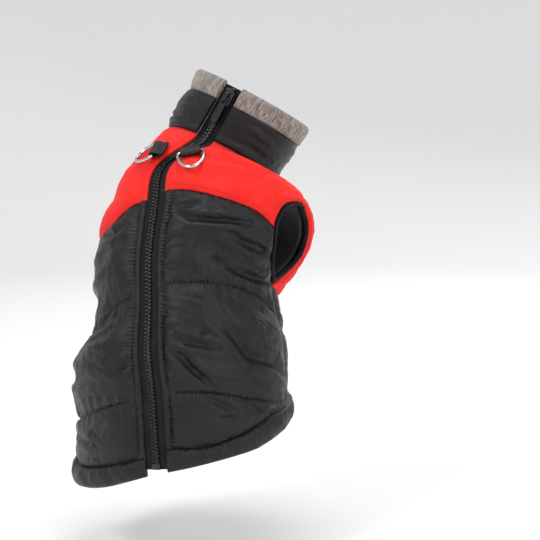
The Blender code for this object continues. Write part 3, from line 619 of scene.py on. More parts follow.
def unevenGloss(tree, shader, gloss):
    scale, low, high = gloss
    change = groupNode(tree, "variation", Scale=scale, Low=low, High=high)
    link(tree, change.outputs[0], shader.inputs["Roughness"])


def plasticMaterial():
    material, tree, shader = newMaterial("glossy black moulded plastic", 0.25, coat=0.15)
    shader.inputs["Base Color"].default_value = (*hardware["plasticColour"], 1.0)
    unevenGloss(tree, shader, hardware["plasticGloss"])
    return material


def chromeMaterial():
    material, tree, shader = newMaterial("chrome wire", 0.08, metallic=1.0)
    drift = groupNode(tree, "variation", Scale=hardware["chromeScale"], Low=0.0, High=1.0)
    link(tree, colourMix(tree, drift.outputs[0], hardware["chromeLow"], hardware["chromeHigh"]),
         shader.inputs["Base Color"])
    unevenGloss(tree, shader, hardware["chromeGloss"])
    return material


softCrinkle = {"scale": 95.0, "distortion": 0.8, "depth": 0.0011}
faintCrinkle = {"scale": 160.0, "distortion": 0.3, "depth": 0.0003}
finishes = {
    # cloth: name, two colours, roughness, threads to a metre, weave depth in metres, crinkle
    "nylon": clothMaterial("black quilted nylon", (0.0070, 0.0074, 0.0086), (0.0110, 0.0115, 0.0130),
                           0.40, 1600.0, 0.00005, softCrinkle, pucker=0.0006, streak=0.0004,
                           sheen=0.02, sheenRoughness=0.35, specular=0.27),
    "red": clothMaterial("red softshell", (0.80, 0.016, 0.013), (0.88, 0.024, 0.018), 0.7,
                         1300.0, 0.00006, faintCrinkle, pucker=0.0003, sheen=0.02, specular=0.2),
    "tape": clothMaterial("black woven tape", (0.005, 0.005, 0.006), (0.010, 0.010, 0.011), 0.7,
                          900.0, 0.00022, faintCrinkle, slant=1.0, specular=0.22),
    "webbing": clothMaterial("black webbing", (0.005, 0.0045, 0.0045), (0.020, 0.017, 0.015), 0.45,
                             620.0, 0.0005, faintCrinkle, slant=1.0, specular=0.4),
    "blackThread": clothMaterial("black thread", (0.010, 0.010, 0.011), (0.022, 0.022, 0.023), 0.5,
                                 2500.0, 0.00004, faintCrinkle),
    "redThread": clothMaterial("red thread", (0.42, 0.010, 0.008), (0.52, 0.014, 0.012), 0.6,
                               2500.0, 0.00004, faintCrinkle),
    "fleece": fleeceMaterial("black fleece", (0.006, 0.006, 0.007), (0.032, 0.032, 0.034),
                             (1.0, 1.0, 1.0), 0.22),
    "grey": fleeceMaterial("grey heathered fleece", (0.045, 0.040, 0.036), (0.42, 0.37, 0.33),
                           (0.42, 1.5, 1.0), 0.13),
    "plastic": plasticMaterial(),
    "chrome": chromeMaterial(),
}
print("materials made")


quilting = {
    "inner": -8.0, "dip": 5.0, "fullTier": 34.0, "topstitchReach": 13.4, "leastWall": 2.2,
    "bodyFaces": (132, 204), "bodyTiers": (45, 84, 75),  # faces between one seam and the next
    "bellyFaces": (150, 84), "bellyTiers": (40, 44),
    "leastLowTier": 3.0, "leastTopTier": 8.0, "leastBellyTier": 6.0, "angleBesideZip": 6.0,
    "sideRounding": 5.0, "zipRounding": 4.5, "gatherRounding": 5.0,
    "flapCrown": 0.42, "flapRipple": 0.35, "flapRippleLength": 6.0,
    "gathers": (1.6, 8.0, 5.5), "zipGathers": (2.0, 7.0, 6.5),  # height, reach, pitch
    "broad": (0.7, 21.0, 13.0), "crossed": (0.25, 8.5, 6.0), "grain": (0.1, 3.4, 3.0),
    "creaseDepth": 1.7, "thinDepth": 0.95, "reliefRise": 1.5,
    "seeds": {"left": 211, "right": 11, "belly": 411},
}
flankCreases = (
    (((13, 192), (23, 187.5), (37, 189), (56, 193.5), (61, 196.5)), 3.4, -2.0),
    (((10, 195), (28, 202.5)), 3.0, -1.2),
    (((43, 181.5), (55, 177), (75, 175.5), (85, 174)), 3.8, -2.2),
    (((35, 166.5), (57, 163.5)), 9.0, -2.4),
    (((52, 154.5), (62, 153), (74, 153), (94, 159)), 3.4, -2.0),
    (((49, 130.5), (63, 127.5), (83, 127.5)), 9.0, -1.8),
    (((30, 97.5), (35, 97.5)), 4.0, -1.4),
    (((17, 91.5), (22, 88.5), (32, 87), (38, 85.5)), 3.4, -1.8),
    (((12, 81), (19, 76.5), (22, 69), (28, 60), (32, 52.5)), 3.6, -2.4),
    (((54, 106.5), (65, 96)), 3.0, 1.2),
    (((46, 105), (57, 82.5), (79, 81), (89, 72)), 6.0, -2.8),
    (((27, 43.5), (38, 36), (42, 33)), 3.0, -1.4),
    (((32, 25.5), (47, 28.5)), 3.0, -1.3),
    (((56, 39), (63, 30)), 3.0, -1.3),
    (((63, 27), (79, 43.5)), 4.4, -1.8),
    (((-43, 82.5), (-27, 84), (-16, 94.5)), 6.0, 1.9),
    (((-10, 70.5), (-20, 64.5)), 4.0, -1.8),
    (((-60, 62), (-72, 64), (-88, 70)), 6.5, -2.4),
    (((-34, 160), (-50, 153), (-64, 150)), 6.0, -2.2),
    (((-58, 128), (-74, 128), (-90, 132)), 7.0, -2.2),
    (((-14, 184), (-30, 178), (-46, 181)), 3.6, -1.8),
    (((-66, 172), (-90, 166)), 4.0, -1.7),
    (((-24, 108), (-48, 100), (-62, 88)), 4.2, -1.9),
    (((-30, 20), (-44, 8), (-60, 12)), 3.6, -1.5),
    (((-70, 48), (-92, 54)), 3.6, -1.6),
)
bellyCreases = (
    (((118, 108), (136, 102), (150, 100)), 6.0, -2.0),
    (((205, 112), (222, 108), (236, 104)), 6.0, -2.0),
    (((160, 136), (190, 131), (214, 136)), 4.4, -1.8),
    (((108, 140), (124, 134), (138, 137)), 4.0, -1.6),
    (((228, 144), (252, 137)), 4.0, -1.6),
    (((148, 96), (184, 100)), 4.2, -1.4),
)


def bodyLines(angle):
    top = np.minimum(lineStation(yokeSeam, angle), armholeFloor(angle)) - cut["halfSeam"]
    hem = lineStation(hemStitch, angle) + cut["halfSeam"]
    lower = np.maximum(lineStation(lowerQuilt, angle), hem + quilting["leastLowTier"])
    upper = np.minimum(lineStation(upperQuilt, angle), top - quilting["leastTopTier"])
    return hem, lower, upper, top


def bellyLines(angle):
    hem = lineStation(hemStitch, angle) + cut["halfSeam"]
    middle = np.maximum(lineStation(upperQuilt, angle), hem + quilting["leastBellyTier"])
    return hem, middle, np.full_like(np.asarray(angle, float), chestSeam - cut["halfSeam"])


hair = 1e-6  # slack for a place that lies on a seam


def tiered(lines, tiers, v):
    # the station at share v, with a set number of faces between each seam and the next
    step, passed = v * sum(tiers), 0
    station = np.zeros_like(v)
    for low, high, count in zip(lines[:-1], lines[1:], tiers):
        inside = (step >= passed - hair) & (step <= passed + count + hair)
        share = np.clip((step - passed) / count, 0, 1)
        station = np.where(inside, low + (high - low) * share, station)
        passed += count
    return station


def bodyOutline(sign):
    foot, head = (lineStation(line, sign * quilting["angleBesideZip"])
                  for line in (hemStitch, yokeSeam))

    def outline(u, v):
        inner = zipAngle(foot + v * (head - foot), cut["zipHalfBand"] + cut["halfSeam"])
        angle = sign * (inner + u * (cut["sideAngle"] - cut["halfSeamDegrees"] - inner))
        return angle, tiered(bodyLines(angle), quilting["bodyTiers"], v)

    return outline


def bellyOutline(u, v):
    start = cut["sideAngle"] + cut["halfSeamDegrees"]
    angle = start + u * (360.0 - 2 * start)
    return angle, tiered(bellyLines(angle), quilting["bellyTiers"], v)


def tierRelief(lines, along, station, seed):
    # the padding's crown between the quilt lines, from 0 to 1, and the gathers along them
    deep, longest, pitch = quilting["gathers"]
    crown, gathers = np.zeros_like(station), np.zeros_like(station)
    for tier, (low, high) in enumerate(zip(lines[:-1], lines[1:])):
        height = np.maximum(high - low, hair)
        share = np.clip((station - low) / height, 0, 1)
        inside = (station >= low - hair) & (station <= high + hair)
        fullness = np.minimum(height / quilting["fullTier"], 1.0)
        crown = np.where(inside, fullness * np.sqrt(4 * share * (1 - share)), crown)
        reach = np.minimum(longest, height / 4)
        folds = (puckers(station - low, along, seed + tier * 20, deep, reach, pitch)
                 + puckers(high - station, along, seed + tier * 20 + 10, deep, reach, pitch))
        gathers = np.where(inside, folds, gathers)
    return crown, gathers


def zipRelief(crown, gathers, angle, station, seed):
    # the flat flap between the zip and its topstitching, and the gathers beyond it
    fromZip = np.abs(wrapped(angle)) * mmPerDegree(station)
    beyond = fromZip - quilting["topstitchReach"]
    flap = (fromZip - cut["zipHalfBand"]) / (quilting["topstitchReach"] - cut["zipHalfBand"])
    flap = quilting["flapCrown"] * np.sqrt(np.clip(4 * flap * (1 - flap), 0, 1))
    crown = np.where(beyond > 0, crown * rounded(beyond, quilting["zipRounding"]), flap)
    gathers = np.where(beyond > 0, gathers * rounded(beyond, quilting["gatherRounding"]), 0.0)
    ripple = softNoise(station / quilting["flapRippleLength"], 0.5, seed + 80)
    gathers += np.where(beyond > 0, puckers(beyond, station, seed + 70, *quilting["zipGathers"]),
                        quilting["flapRipple"] * ripple)
    return crown, gathers


def quiltedLift(linesOf, creases, seed, hasZip):
    def lift(angle, station):
        along = angle * cut["flatDegree"]
        crown, gathers = tierRelief(linesOf(angle), along, station, seed)
        fromSide = np.abs(np.abs(wrapped(angle)) - cut["sideAngle"]) * cut["flatDegree"]
        crown = crown * rounded(fromSide + 1.0, quilting["sideRounding"])
        if hasZip:
            crown, gathers = zipRelief(crown, gathers, angle, station, seed)
        fine, wide, tall = quilting["grain"]
        rumple = (rumpled(along, station, seed + 90, quilting["broad"], quilting["crossed"])
                  + fine * softNoise(along / wide, station / tall, seed + 92)
                  + thinCreases(along, station, seed + 94, quilting["thinDepth"]))
        rumple = creaseLift(creases, angle, station, quilting["creaseDepth"]) + rumple
        relief = rumple * np.minimum(1, crown * quilting["reliefRise"]) + gathers
        raised = -quilting["dip"] * (1 - crown) + relief
        return np.maximum(raised, quilting["inner"] + quilting["leastWall"])

    return lift


panelLifts = {side: quiltedLift(bodyLines, flankCreases, quilting["seeds"][side], True)
              for side in sides}
panelLifts["belly"] = quiltedLift(bellyLines, bellyCreases, quilting["seeds"]["belly"], False)


def besideChain(angle, station):
    return np.abs(wrapped(angle)) * mmPerDegree(station) - quilting["topstitchReach"]


def fromLine(linesOf, index):
    return lambda angle, station: station - linesOf(angle)[index]


flankSewing = sewnField([fromLine(bodyLines, index) for index in range(4)], [besideChain])
bellySewing = sewnField([fromLine(bellyLines, index) for index in range(3)], [])
for side, sign in sides.items():
    panel = panelPiece(f"quiltedFlank_{side}", quilting["bodyFaces"], bodyOutline(sign),
                       panelLifts[side], quilting["inner"], finishes["nylon"], flankSewing)
    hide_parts(f"body_{side}")
belly = panelPiece("quiltedBelly", quilting["bellyFaces"], bellyOutline, panelLifts["belly"],
                   quilting["inner"], finishes["nylon"], bellySewing)
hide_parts("belly_panel")
print("quilted panels made")


hem = {
    "inner": -7.4, "overlap": 0.3, "faces": (190, 20), "leastWall": 1.6,
    "backSwell": 1.6, "swellAngle": -58.0, "swellSpread": 26.0, "endRounding": 2.6,
    "gathers": (1.0, 6.0, 5.5), "rolls": (0.7, 7.0, 16.0), "rollSlant": 0.8,
    "ripples": (0.4, 3.4, 9.0), "seed": 611,
}


def hemOutline(start, end):
    def outline(u, v):
        angle = start + u * (end - start)
        low, high = lineStation(hemEdge, angle), lineStation(hemStitch, angle) + hem["overlap"]
        return angle, low + v * (high - low)

    return outline


def hemLift(angle, station):
    low, high = lineStation(hemEdge, angle), lineStation(hemStitch, angle)
    share = np.clip((station - low) / (high - low), 0, 1)
    fromSwell = (wrapped(angle) - hem["swellAngle"]) / hem["swellSpread"]
    swell = hem["backSwell"] * np.exp(-fromSwell ** 2)
    along = angle * cut["flatDegree"]
    fromZip = (np.abs(wrapped(angle)) - hemStart) * mmPerDegree(station)
    crown = np.sqrt(4 * share * (1 - share)) * rounded(fromZip + 0.8, hem["endRounding"])
    (rollHeight, rollLength, rollTall), (height, length, tall) = hem["rolls"], hem["ripples"]
    slanted = along + station * hem["rollSlant"]
    relief = (rollHeight * softNoise(slanted / rollLength, station / rollTall, hem["seed"])
              + height * softNoise(along / length, station / tall, hem["seed"] + 1)) * crown
    relief += puckers(high - station, along, hem["seed"] + 9, *hem["gathers"])
    lift = -quilting["dip"] + (quilting["dip"] + swell) * crown + relief
    return np.maximum(lift, hem["inner"] + hem["leastWall"])


hemStart = float(zipAngle(lineStation(hemEdge, 0.0), cut["zipHalfBand"] + cut["halfSeam"]))
sideEnd = cut["sideAngle"] - cut["halfSeamDegrees"]
bellyStart = cut["sideAngle"] + cut["halfSeamDegrees"]
hemSpans = {
    "hem_left": (-sideEnd, -hemStart),
    "hem_right": (hemStart, sideEnd),
    "hem_belly": (bellyStart, 360.0 - bellyStart),
}
hemSewing = sewnField([lambda angle, station: lineStation(hemStitch, angle) - station], [])
for cadNode, (start, end) in hemSpans.items():
    roll = panelPiece(cadNode.replace("hem_", "rolledHem_"), hem["faces"], hemOutline(start, end),
                      hemLift, hem["inner"], finishes["nylon"], hemSewing)
    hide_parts(cadNode)
print("hem made")


yoke = {
    "inner": -8.0, "crown": -0.9, "edge": -4.4, "faces": (104, 96), "chestFaces": (130, 120),
    "leastWall": 2.2, "seamRounding": 3.2, "openEdge": 0.6,
    "topstitch": 3.6, "stitchDip": 0.55, "stitchWidth": 0.8,
    "gathers": (0.55, 7.0, 7.0), "broad": (0.55, 26.0, 19.0), "crossed": (0.16, 9.0, 8.0),
    "creaseDepth": 1.25, "thinDepth": 0.4, "seeds": {"left": 699, "right": 701, "chest": 760},
}
yokeCreases = (
    (((14, 238), (34, 243), (52, 246)), 7.0, 2.4),
    (((20, 256), (40, 261), (58, 262)), 7.0, -2.6),
    (((66, 232), (73, 214)), 4.0, 1.6),
    (((77, 226), (77, 241)), 4.0, 1.2),
    (((18, 228), (40, 224)), 4.0, -0.8),
    (((-30, 214), (-48, 219), (-62, 222)), 9.0, -1.6),
    (((-40, 262), (-58, 259), (-76, 258)), 7.0, -1.8),
    (((-20, 232), (-38, 240)), 4.5, 0.9),
)
chestCreases = (
    (((127, 197), (146, 190), (163, 189)), 4.0, -2.2),
    (((236, 192), (214, 187), (199, 188)), 4.6, -2.0),
    (((122, 178), (140, 171), (160, 173)), 4.5, -1.9),
    (((241, 177), (222, 170), (206, 170)), 4.0, -1.8),
    (((128, 228), (150, 234), (178, 231)), 6.5, -1.8),
    (((233, 238), (208, 245), (186, 243)), 6.0, -1.9),
    (((118, 268), (148, 273), (182, 271)), 6.5, -2.6),
    (((244, 264), (214, 270), (190, 272)), 6.0, -2.2),
    (((160, 284), (186, 281), (214, 285)), 4.0, -1.5),
    (((150, 208), (176, 213), (204, 209)), 7.0, 1.6),
)


def yokeOutline(side, sign):
    corner = cut["yokeCorner"][side]

    def outline(u, v):
        top = cut["neckStation"] - cut["halfSeam"]
        guide = corner + v * (top - corner)
        inner = zipAngle(guide, cut["zipHalfBand"] + cut["halfSeam"])
        angle = sign * (inner + u * (backEdge(guide) - cut["halfSeamDegrees"] - inner))
        seam = lineStation(yokeSeam, angle) + cut["halfSeam"]
        return angle, seam + v * (top - seam)

    return outline


def chestOutline(u, v):
    low, high = chestSeam + cut["halfSeam"], cut["neckStation"] - cut["halfSeam"]
    station = low + v * (high - low)
    edge = frontEdge(station) + cut["halfSeamDegrees"]
    return edge + u * (360.0 - 2 * edge), station


def softshellLift(distances, creases, seed):
    # thin at its seams, sunk along the topstitching, and fuller between them
    def lift(angle, station):
        along = angle * cut["flatDegree"]
        crown, sewn = np.ones_like(station), np.zeros_like(station)
        gathers = np.zeros_like(station)
        for number, distanceFrom in enumerate(distances):
            distance = distanceFrom(angle, station)
            crown = crown * rounded(distance, yoke["seamRounding"])
            beyond = distance - yoke["topstitch"]
            sewn += np.exp(-(beyond / yoke["stitchWidth"]) ** 2)
            gathers += puckers(beyond, along + station, seed + number * 9, *yoke["gathers"])
        rumple = rumpled(along, station, seed + 90, yoke["broad"], yoke["crossed"])
        rumple += thinCreases(along, station, seed + 94, yoke["thinDepth"])
        raised = yoke["edge"] + (yoke["crown"] - yoke["edge"]) * crown
        raised -= yoke["stitchDip"] * np.clip(sewn, 0, 1)
        raised += (creaseLift(creases, angle, station, yoke["creaseDepth"]) + rumple) * crown + gathers
        return np.maximum(raised, yoke["inner"] + yoke["leastWall"])

    return lift


def fromZipBand(angle, station):
    return (np.abs(wrapped(angle)) - zipAngle(station)) * mmPerDegree(station)


def fromBackEdge(angle, station):
    return (backEdge(station) - np.abs(wrapped(angle))) * cut["flatDegree"] + yoke["openEdge"]


def fromFrontEdge(angle, station):
    return (np.abs(wrapped(angle)) - frontEdge(station)) * cut["flatDegree"] + yoke["openEdge"]


def fromNeck(angle, station):
    return cut["neckStation"] - station


def fromYokeSeam(angle, station):
    return station - lineStation(yokeSeam, angle)


def fromChestSeam(angle, station):
    return station - chestSeam


def insideSeam(distanceFrom):
    return lambda angle, station: distanceFrom(angle, station) - yoke["topstitch"]


yokeSewing = sewnField([insideSeam(fromYokeSeam), insideSeam(fromNeck)],
                       [insideSeam(fromZipBand), insideSeam(fromBackEdge)])
chestSewing = sewnField([insideSeam(fromChestSeam), insideSeam(fromNeck)],
                        [insideSeam(fromFrontEdge)])
yokeEdges = (fromZipBand, fromBackEdge, fromNeck, fromYokeSeam)
softshellLifts = {side: softshellLift(yokeEdges, yokeCreases, yoke["seeds"][side]) for side in sides}
softshellLifts["chest"] = softshellLift((fromFrontEdge, fromNeck, fromChestSeam), chestCreases,
                                        yoke["seeds"]["chest"])
for side, sign in sides.items():
    panel = panelPiece(f"redYoke_{side}", yoke["faces"], yokeOutline(side, sign),
                       softshellLifts[side], yoke["inner"], finishes["red"], yokeSewing)
    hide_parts(f"yoke_{side}")
chest = panelPiece("redChest", yoke["chestFaces"], chestOutline, softshellLifts["chest"],
                   yoke["inner"], finishes["red"], chestSewing)
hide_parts("chest_panel")
print("red panels made")


lining = {
    "inner": -11.6, "outer": -10.5, "backFaces": (56, 104), "frontFaces": (84, 90),
    "aboveHem": 2.0, "underNeck": 1.0, "underTape": 1.0, "insideArmhole": 0.7,
    "bulge": 1.1, "bulgeRounding": 8.0, "ripple": (0.5, 19.0, 14.0), "seed": 501,
}


def liningBackOutline(sign):
    def outline(u, v):
        low = lineStation(hemStitch, sign * u * cut["sideAngle"]) + lining["aboveHem"]
        station = low + v * (cut["neckStation"] - lining["underNeck"] - low)
        inner = zipAngle(station, cut["zipHalfBand"] - lining["underTape"])
        edge = backEdge(station) - lining["insideArmhole"]
        return sign * (inner + u * (edge - inner)), station

    return outline


def liningFrontOutline(u, v):
    across = cut["sideAngle"] + u * (360.0 - 2 * cut["sideAngle"])
    low = lineStation(hemStitch, across) + lining["aboveHem"]
    station = low + v * (cut["neckStation"] - lining["underNeck"] - low)
    edge = frontEdge(station) + lining["insideArmhole"]
    return edge + u * (360.0 - 2 * edge), station


def liningOuter(angle, station):
    return np.full_like(station, lining["outer"])


def liningInner(angle, station):
    # the inside bags a little between the quilt lines
    away = np.minimum(np.abs(station - lineStation(upperQuilt, angle)),
                      np.abs(station - lineStation(hemStitch, angle)))
    height, wide, tall = lining["ripple"]
    ripple = height * softNoise(angle * cut["flatDegree"] / wide, station / tall, lining["seed"])
    bag = lining["bulge"] * rounded(away, lining["bulgeRounding"]) + ripple
    return lining["inner"] - np.maximum(bag, 0.0)


linings = {
    # outline, faces, flat size, area, and what it rests on
    "left": (liningBackOutline(-1.0), lining["backFaces"], (0.158, 0.330), 0.0388, "body_left"),
    "right": (liningBackOutline(1.0), lining["backFaces"], (0.147, 0.299), 0.0324, "body_right"),
    "front": (liningFrontOutline, lining["frontFaces"], (0.267, 0.316), 0.0445, "belly_panel"),
}
for part, (outline, faces, flat, area, under) in linings.items():
    shell = panelPiece(f"fleeceLining_{part}", faces, outline, liningOuter, liningInner,
                       finishes["fleece"])
    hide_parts(f"lining_{part}")
print("lining made")


collar = {
    "change": 331.0, "top": 350.0, "low": -3.9, "high": -0.4, "facingInner": -6.6, "turns": 300,
    "step": 1.1, "besideZip": 0.4, "endTaper": 14, "deepest": -2.0,
    "swell": 3.4, "swellAngle": 272.0, "swellSpread": 38.0, "seam": (0.7, 5.0, 6.0),
    # height, degrees and millimetres of each wave
    "standWaves": ((0.55, 26.0, 4.2), (0.2, 7.0, 3.0)), "standSeeds": (520, 530),
    "facingWaves": ((0.45, 21.0, 9.0), (0.22, 3.2, 3.0)), "facingSeed": 540,
}
standCreases = (
    (((8, 302), (40, 305), (88, 301)), 2.8, -0.5),
    (((30, 312), (80, 316), (128, 311)), 3.4, -0.6),
    (((12, 322), (40, 325), (66, 321)), 3.0, -1.0),
    (((262, 303), (306, 306), (351, 302)), 2.0, -1.4),
    (((228, 310), (256, 314), (318, 309)), 2.4, -0.9),
    (((296, 316), (326, 320), (352, 316)), 2.6, -1.4),
    (((150, 303), (190, 307), (222, 304)), 2.6, -1.0),
    (((130, 321), (170, 325), (206, 320)), 3.2, -1.1),
)


def denseLoop(corners, step):
    corners = np.array(corners, float)
    points = []
    for start, end in zip(corners, np.roll(corners, -1, axis=0)):
        count = max(1, int(round(np.linalg.norm(end - start) / step)))
        points += [start + (end - start) * k / count for k in range(count)]
    return np.array(points)


def collarPiece(name, profile, relief, material):
    stations, lifts = denseLoop(profile, collar["step"]).T
    edge = zipAngle(stations) + collar["besideZip"]
    outward = np.clip((lifts - collar["low"] - 0.6) / 1.6, 0, 1)
    sections = []
    for share in np.linspace(0, 1, collar["turns"] + 1):
        angle = edge + share * (360.0 - 2 * edge)
        ends = min(1.0, collar["endTaper"] * share, collar["endTaper"] * (1 - share))
        sections.append(place(angle, stations, lifts + relief(angle, stations) * outward * ends))
    return sweptPiece(name, sections, material, sharpDegrees=60)


def waves(rows, angle, station, seed):
    return sum(height * softNoise(angle / wide, station / tall, seed + number)
               for number, (height, wide, tall) in enumerate(rows))


def standRelief(angle, station):
    waveSeed, seamSeed = collar["standSeeds"]
    fromLeft = (angle - collar["swellAngle"]) / collar["swellSpread"]
    share = np.clip((station - cut["neckStation"]) / (collar["change"] - cut["neckStation"]), 0, 1)
    swell = collar["swell"] * np.exp(-fromLeft ** 2) * np.sin(math.pi * share)
    bands = waves(collar["standWaves"], angle, station, waveSeed)
    seam = puckers(station - cut["neckStation"], angle, seamSeed, *collar["seam"])
    folds = creaseLift(standCreases, angle, station) + bands + seam
    return np.maximum(folds, collar["deepest"]) + swell


def facingRelief(angle, station):
    return waves(collar["facingWaves"], angle, station, collar["facingSeed"])


low, high, bottom = collar["low"], collar["high"], cut["neckStation"] + cut["halfSeam"]
change, top, inside = collar["change"], collar["top"], collar["facingInner"]
standProfile = (
    (bottom, high - 2.4), (bottom + 1.5, high - 1.0), (bottom + 5, high - 0.3), (bottom + 20, high),
    (change - 6, high - 0.1), (change - 2, high - 0.5), (change - cut["halfSeam"], high - 1.6),
    (change - cut["halfSeam"], low), (bottom, low),
)
facingProfile = (
    (bottom, low - 0.35), (change, low - 0.35), (change, high - 1.4), (change + 1.6, high - 0.4),
    (change + 5, high), (top - 4, high), (top - 1.2, high - 0.8), (top, high - 2.2),
    (top, inside + 2.0), (top - 1.4, inside + 0.5), (top - 4, inside), (bottom + 9, inside),
    (bottom + 4, inside - 1.2), (bottom - 0.5, inside - 4.0), (bottom - 3, inside - 5.7),
    (bottom - 4, inside - 5.2), (bottom - 2.5, inside - 2.1), (bottom, inside - 1.7),
)
collarParts = {
    # CAD node, profile, relief, finish, slot, flat size
    "wrinkledStand": ("collar_stand", standProfile, standRelief, "nylon", "nylon", (0.338, 0.036)),
    "greyCollarTop": ("collar_facing", facingProfile, facingRelief, "grey", "grey_fleece",
                      (0.338, 0.077)),
}
for name, (cadNode, profile, relief, finish, slotName, flat) in collarParts.items():
    band = collarPiece(name, profile, relief, finishes[finish])
    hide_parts(cadNode)
print("collar made")


zipSizes = {
    "bottom": -18.0, "top": 347.0, "chainHalf": 2.7, "tapeLow": -6.9, "tapeHigh": -5.5,
    "teethLow": -6.9, "teethHigh": -3.9, "pitch": 3.0, "rows": 260,
    "chainGap": 0.3, "underPanel": 0.5, "toothMargins": (1.5, 1.0),
    # the tape's section, as steps from an edge of the tape and from its under or upper side
    "tapeSection": (("middle", 0.1, "low", 0.3), ("near", 0.0, "low", 0.0),
                    ("far", 0.0, "low", 0.0), ("far", 0.0, "high", -0.2),
                    ("near", 1.8, "high", -0.15), ("near", 0.9, "high", 0.15),
                    ("near", 0.0, "high", -0.2), ("middle", 0.1, "low", 0.9)),
    # blocks as length up the zip, width across it, height, and the middle's place across and out
    "toothBody": ((1.9, 1.75, 3.0), 1.82, 0.0), "toothHook": ((1.25, 2.5, 2.2), 0.2, -0.2),
    "box": ((5.2, 7.0, 3.2), 0.0, 0.0), "boxUp": 2.6, "boxLift": -5.4, "blockBevel": 0.4,
}


def repeated(name, template, matrices, material, body="jacket"):
    # one joined mesh of the template's copies; the template is used up
    template.verts.index_update()
    points = np.array([(*vertex.co, 1.0) for vertex in template.verts])
    faces = [[vertex.index for vertex in face.verts] for face in template.faces]
    template.free()
    matrices = np.array(matrices)
    placed = np.einsum("mij,vj->mvi", matrices, points)[..., :3].reshape(-1, 3)
    everyFace = [[i + start for i in face] for start in range(0, len(placed), len(points))
                 for face in faces]
    mesh = bpy.data.meshes.new(name)
    mesh.from_pydata(placed.tolist(), [], everyFace)
    joined = bmesh.new()
    joined.from_mesh(mesh)
    bpy.data.meshes.remove(mesh)
    joined.loops.layers.uv.new("UVMap")
    return addPiece(name, joined, material, body, 40)


zipStations = np.linspace(zipSizes["bottom"], zipSizes["top"], zipSizes["rows"])
for side, sign in sides.items():
    degree = mmPerDegree(zipStations)
    edges = {"middle": 0.0, "near": zipSizes["chainHalf"] + zipSizes["chainGap"],
             "far": cut["zipHalfBand"] + zipSizes["underPanel"],
             "low": zipSizes["tapeLow"], "high": zipSizes["tapeHigh"]}
    corners = [(edges[edge] + across, edges[level] + out)
               for edge, across, level, out in zipSizes["tapeSection"]]
    strips = [place(sign * across / degree, zipStations, np.full_like(zipStations, lift))
              for across, lift in corners]
    tape = sweptPiece(f"zipTape_{side}", np.stack(strips, axis=1), finishes["tape"])
    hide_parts(f"zip_tape_{side}")

toothMatrices = []
firstTooth = zipSizes["bottom"] + zipSizes["toothMargins"][0]
lastTooth = zipSizes["top"] - zipSizes["toothMargins"][1]
for number, station in enumerate(np.arange(firstTooth, lastTooth, zipSizes["pitch"] / 2)):
    spot = frameAt(0.0, station, (zipSizes["teethLow"] + zipSizes["teethHigh"]) / 2)
    toothMatrices.append(np.array(spot @ Matrix.Rotation(math.pi * (number % 2), 4, "Z")))


def toothBlock(maker, size, across, height):
    # a rounded block, set across and out from the middle of the zip
    made = bmesh.ops.create_cube(maker, size=1.0, matrix=Matrix.Translation(
        (0, across * mm, height * mm)) @ Matrix.Diagonal((*(side * mm for side in size), 1.0)))
    edges = {edge for vertex in made["verts"] for edge in vertex.link_edges}
    bmesh.ops.bevel(maker, geom=list(edges), offset=zipSizes["blockBevel"] * mm,
                    offset_type="OFFSET", segments=2, profile=0.5, affect="EDGES",
                    clamp_overlap=True, material=-1)


tooth = bmesh.new()
toothBlock(tooth, *zipSizes["toothBody"])
toothBlock(tooth, *zipSizes["toothHook"])
teeth = repeated("zipTeeth", tooth, toothMatrices, finishes["plastic"])
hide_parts("zip_chain")
foot = bmesh.new()
toothBlock(foot, *zipSizes["box"])
footPlace = frameAt(0.0, zipSizes["bottom"] + zipSizes["boxUp"], zipSizes["boxLift"])
foot = repeated("zipBox", foot, [np.array(footPlace)], finishes["plastic"])


rounding = {"merge": 0.01, "flatDegrees": 1.5, "sharpDegrees": 28, "slider": 0.3, "pull": 0.25}


def roundedCopy(name, cadNode, material, body, bevelWidth):
    # the CAD node's own mesh, with its sharp edges rounded
    source = bmesh.new()
    source.from_mesh(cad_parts[cadNode].data)
    bmesh.ops.remove_doubles(source, verts=source.verts[:], dist=rounding["merge"] * mm)
    bmesh.ops.dissolve_limit(source, angle_limit=math.radians(rounding["flatDegrees"]),
                             verts=source.verts[:], edges=source.edges[:])
    sharp = [edge for edge in source.edges if edge.is_manifold
             and edge.calc_face_angle(0.0) > math.radians(rounding["sharpDegrees"])]
    bmesh.ops.bevel(source, geom=sharp, offset=bevelWidth * mm, offset_type="OFFSET", segments=2,
                    profile=0.5, affect="EDGES", clamp_overlap=True, material=-1)
    bmesh.ops.triangulate(source, faces=[face for face in source.faces if len(face.verts) > 4])
    source.loops.layers.uv.new("UVMap")
    return addPiece(name, source, material, body, 40)


slider = roundedCopy("zipSlider", "zip_slider", finishes["plastic"], "jacket", rounding["slider"])
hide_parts("zip_slider")
pull = roundedCopy("zipPull", "zip_pull", finishes["plastic"], "pull_tab", rounding["pull"])
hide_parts("zip_pull")
print("zip made")


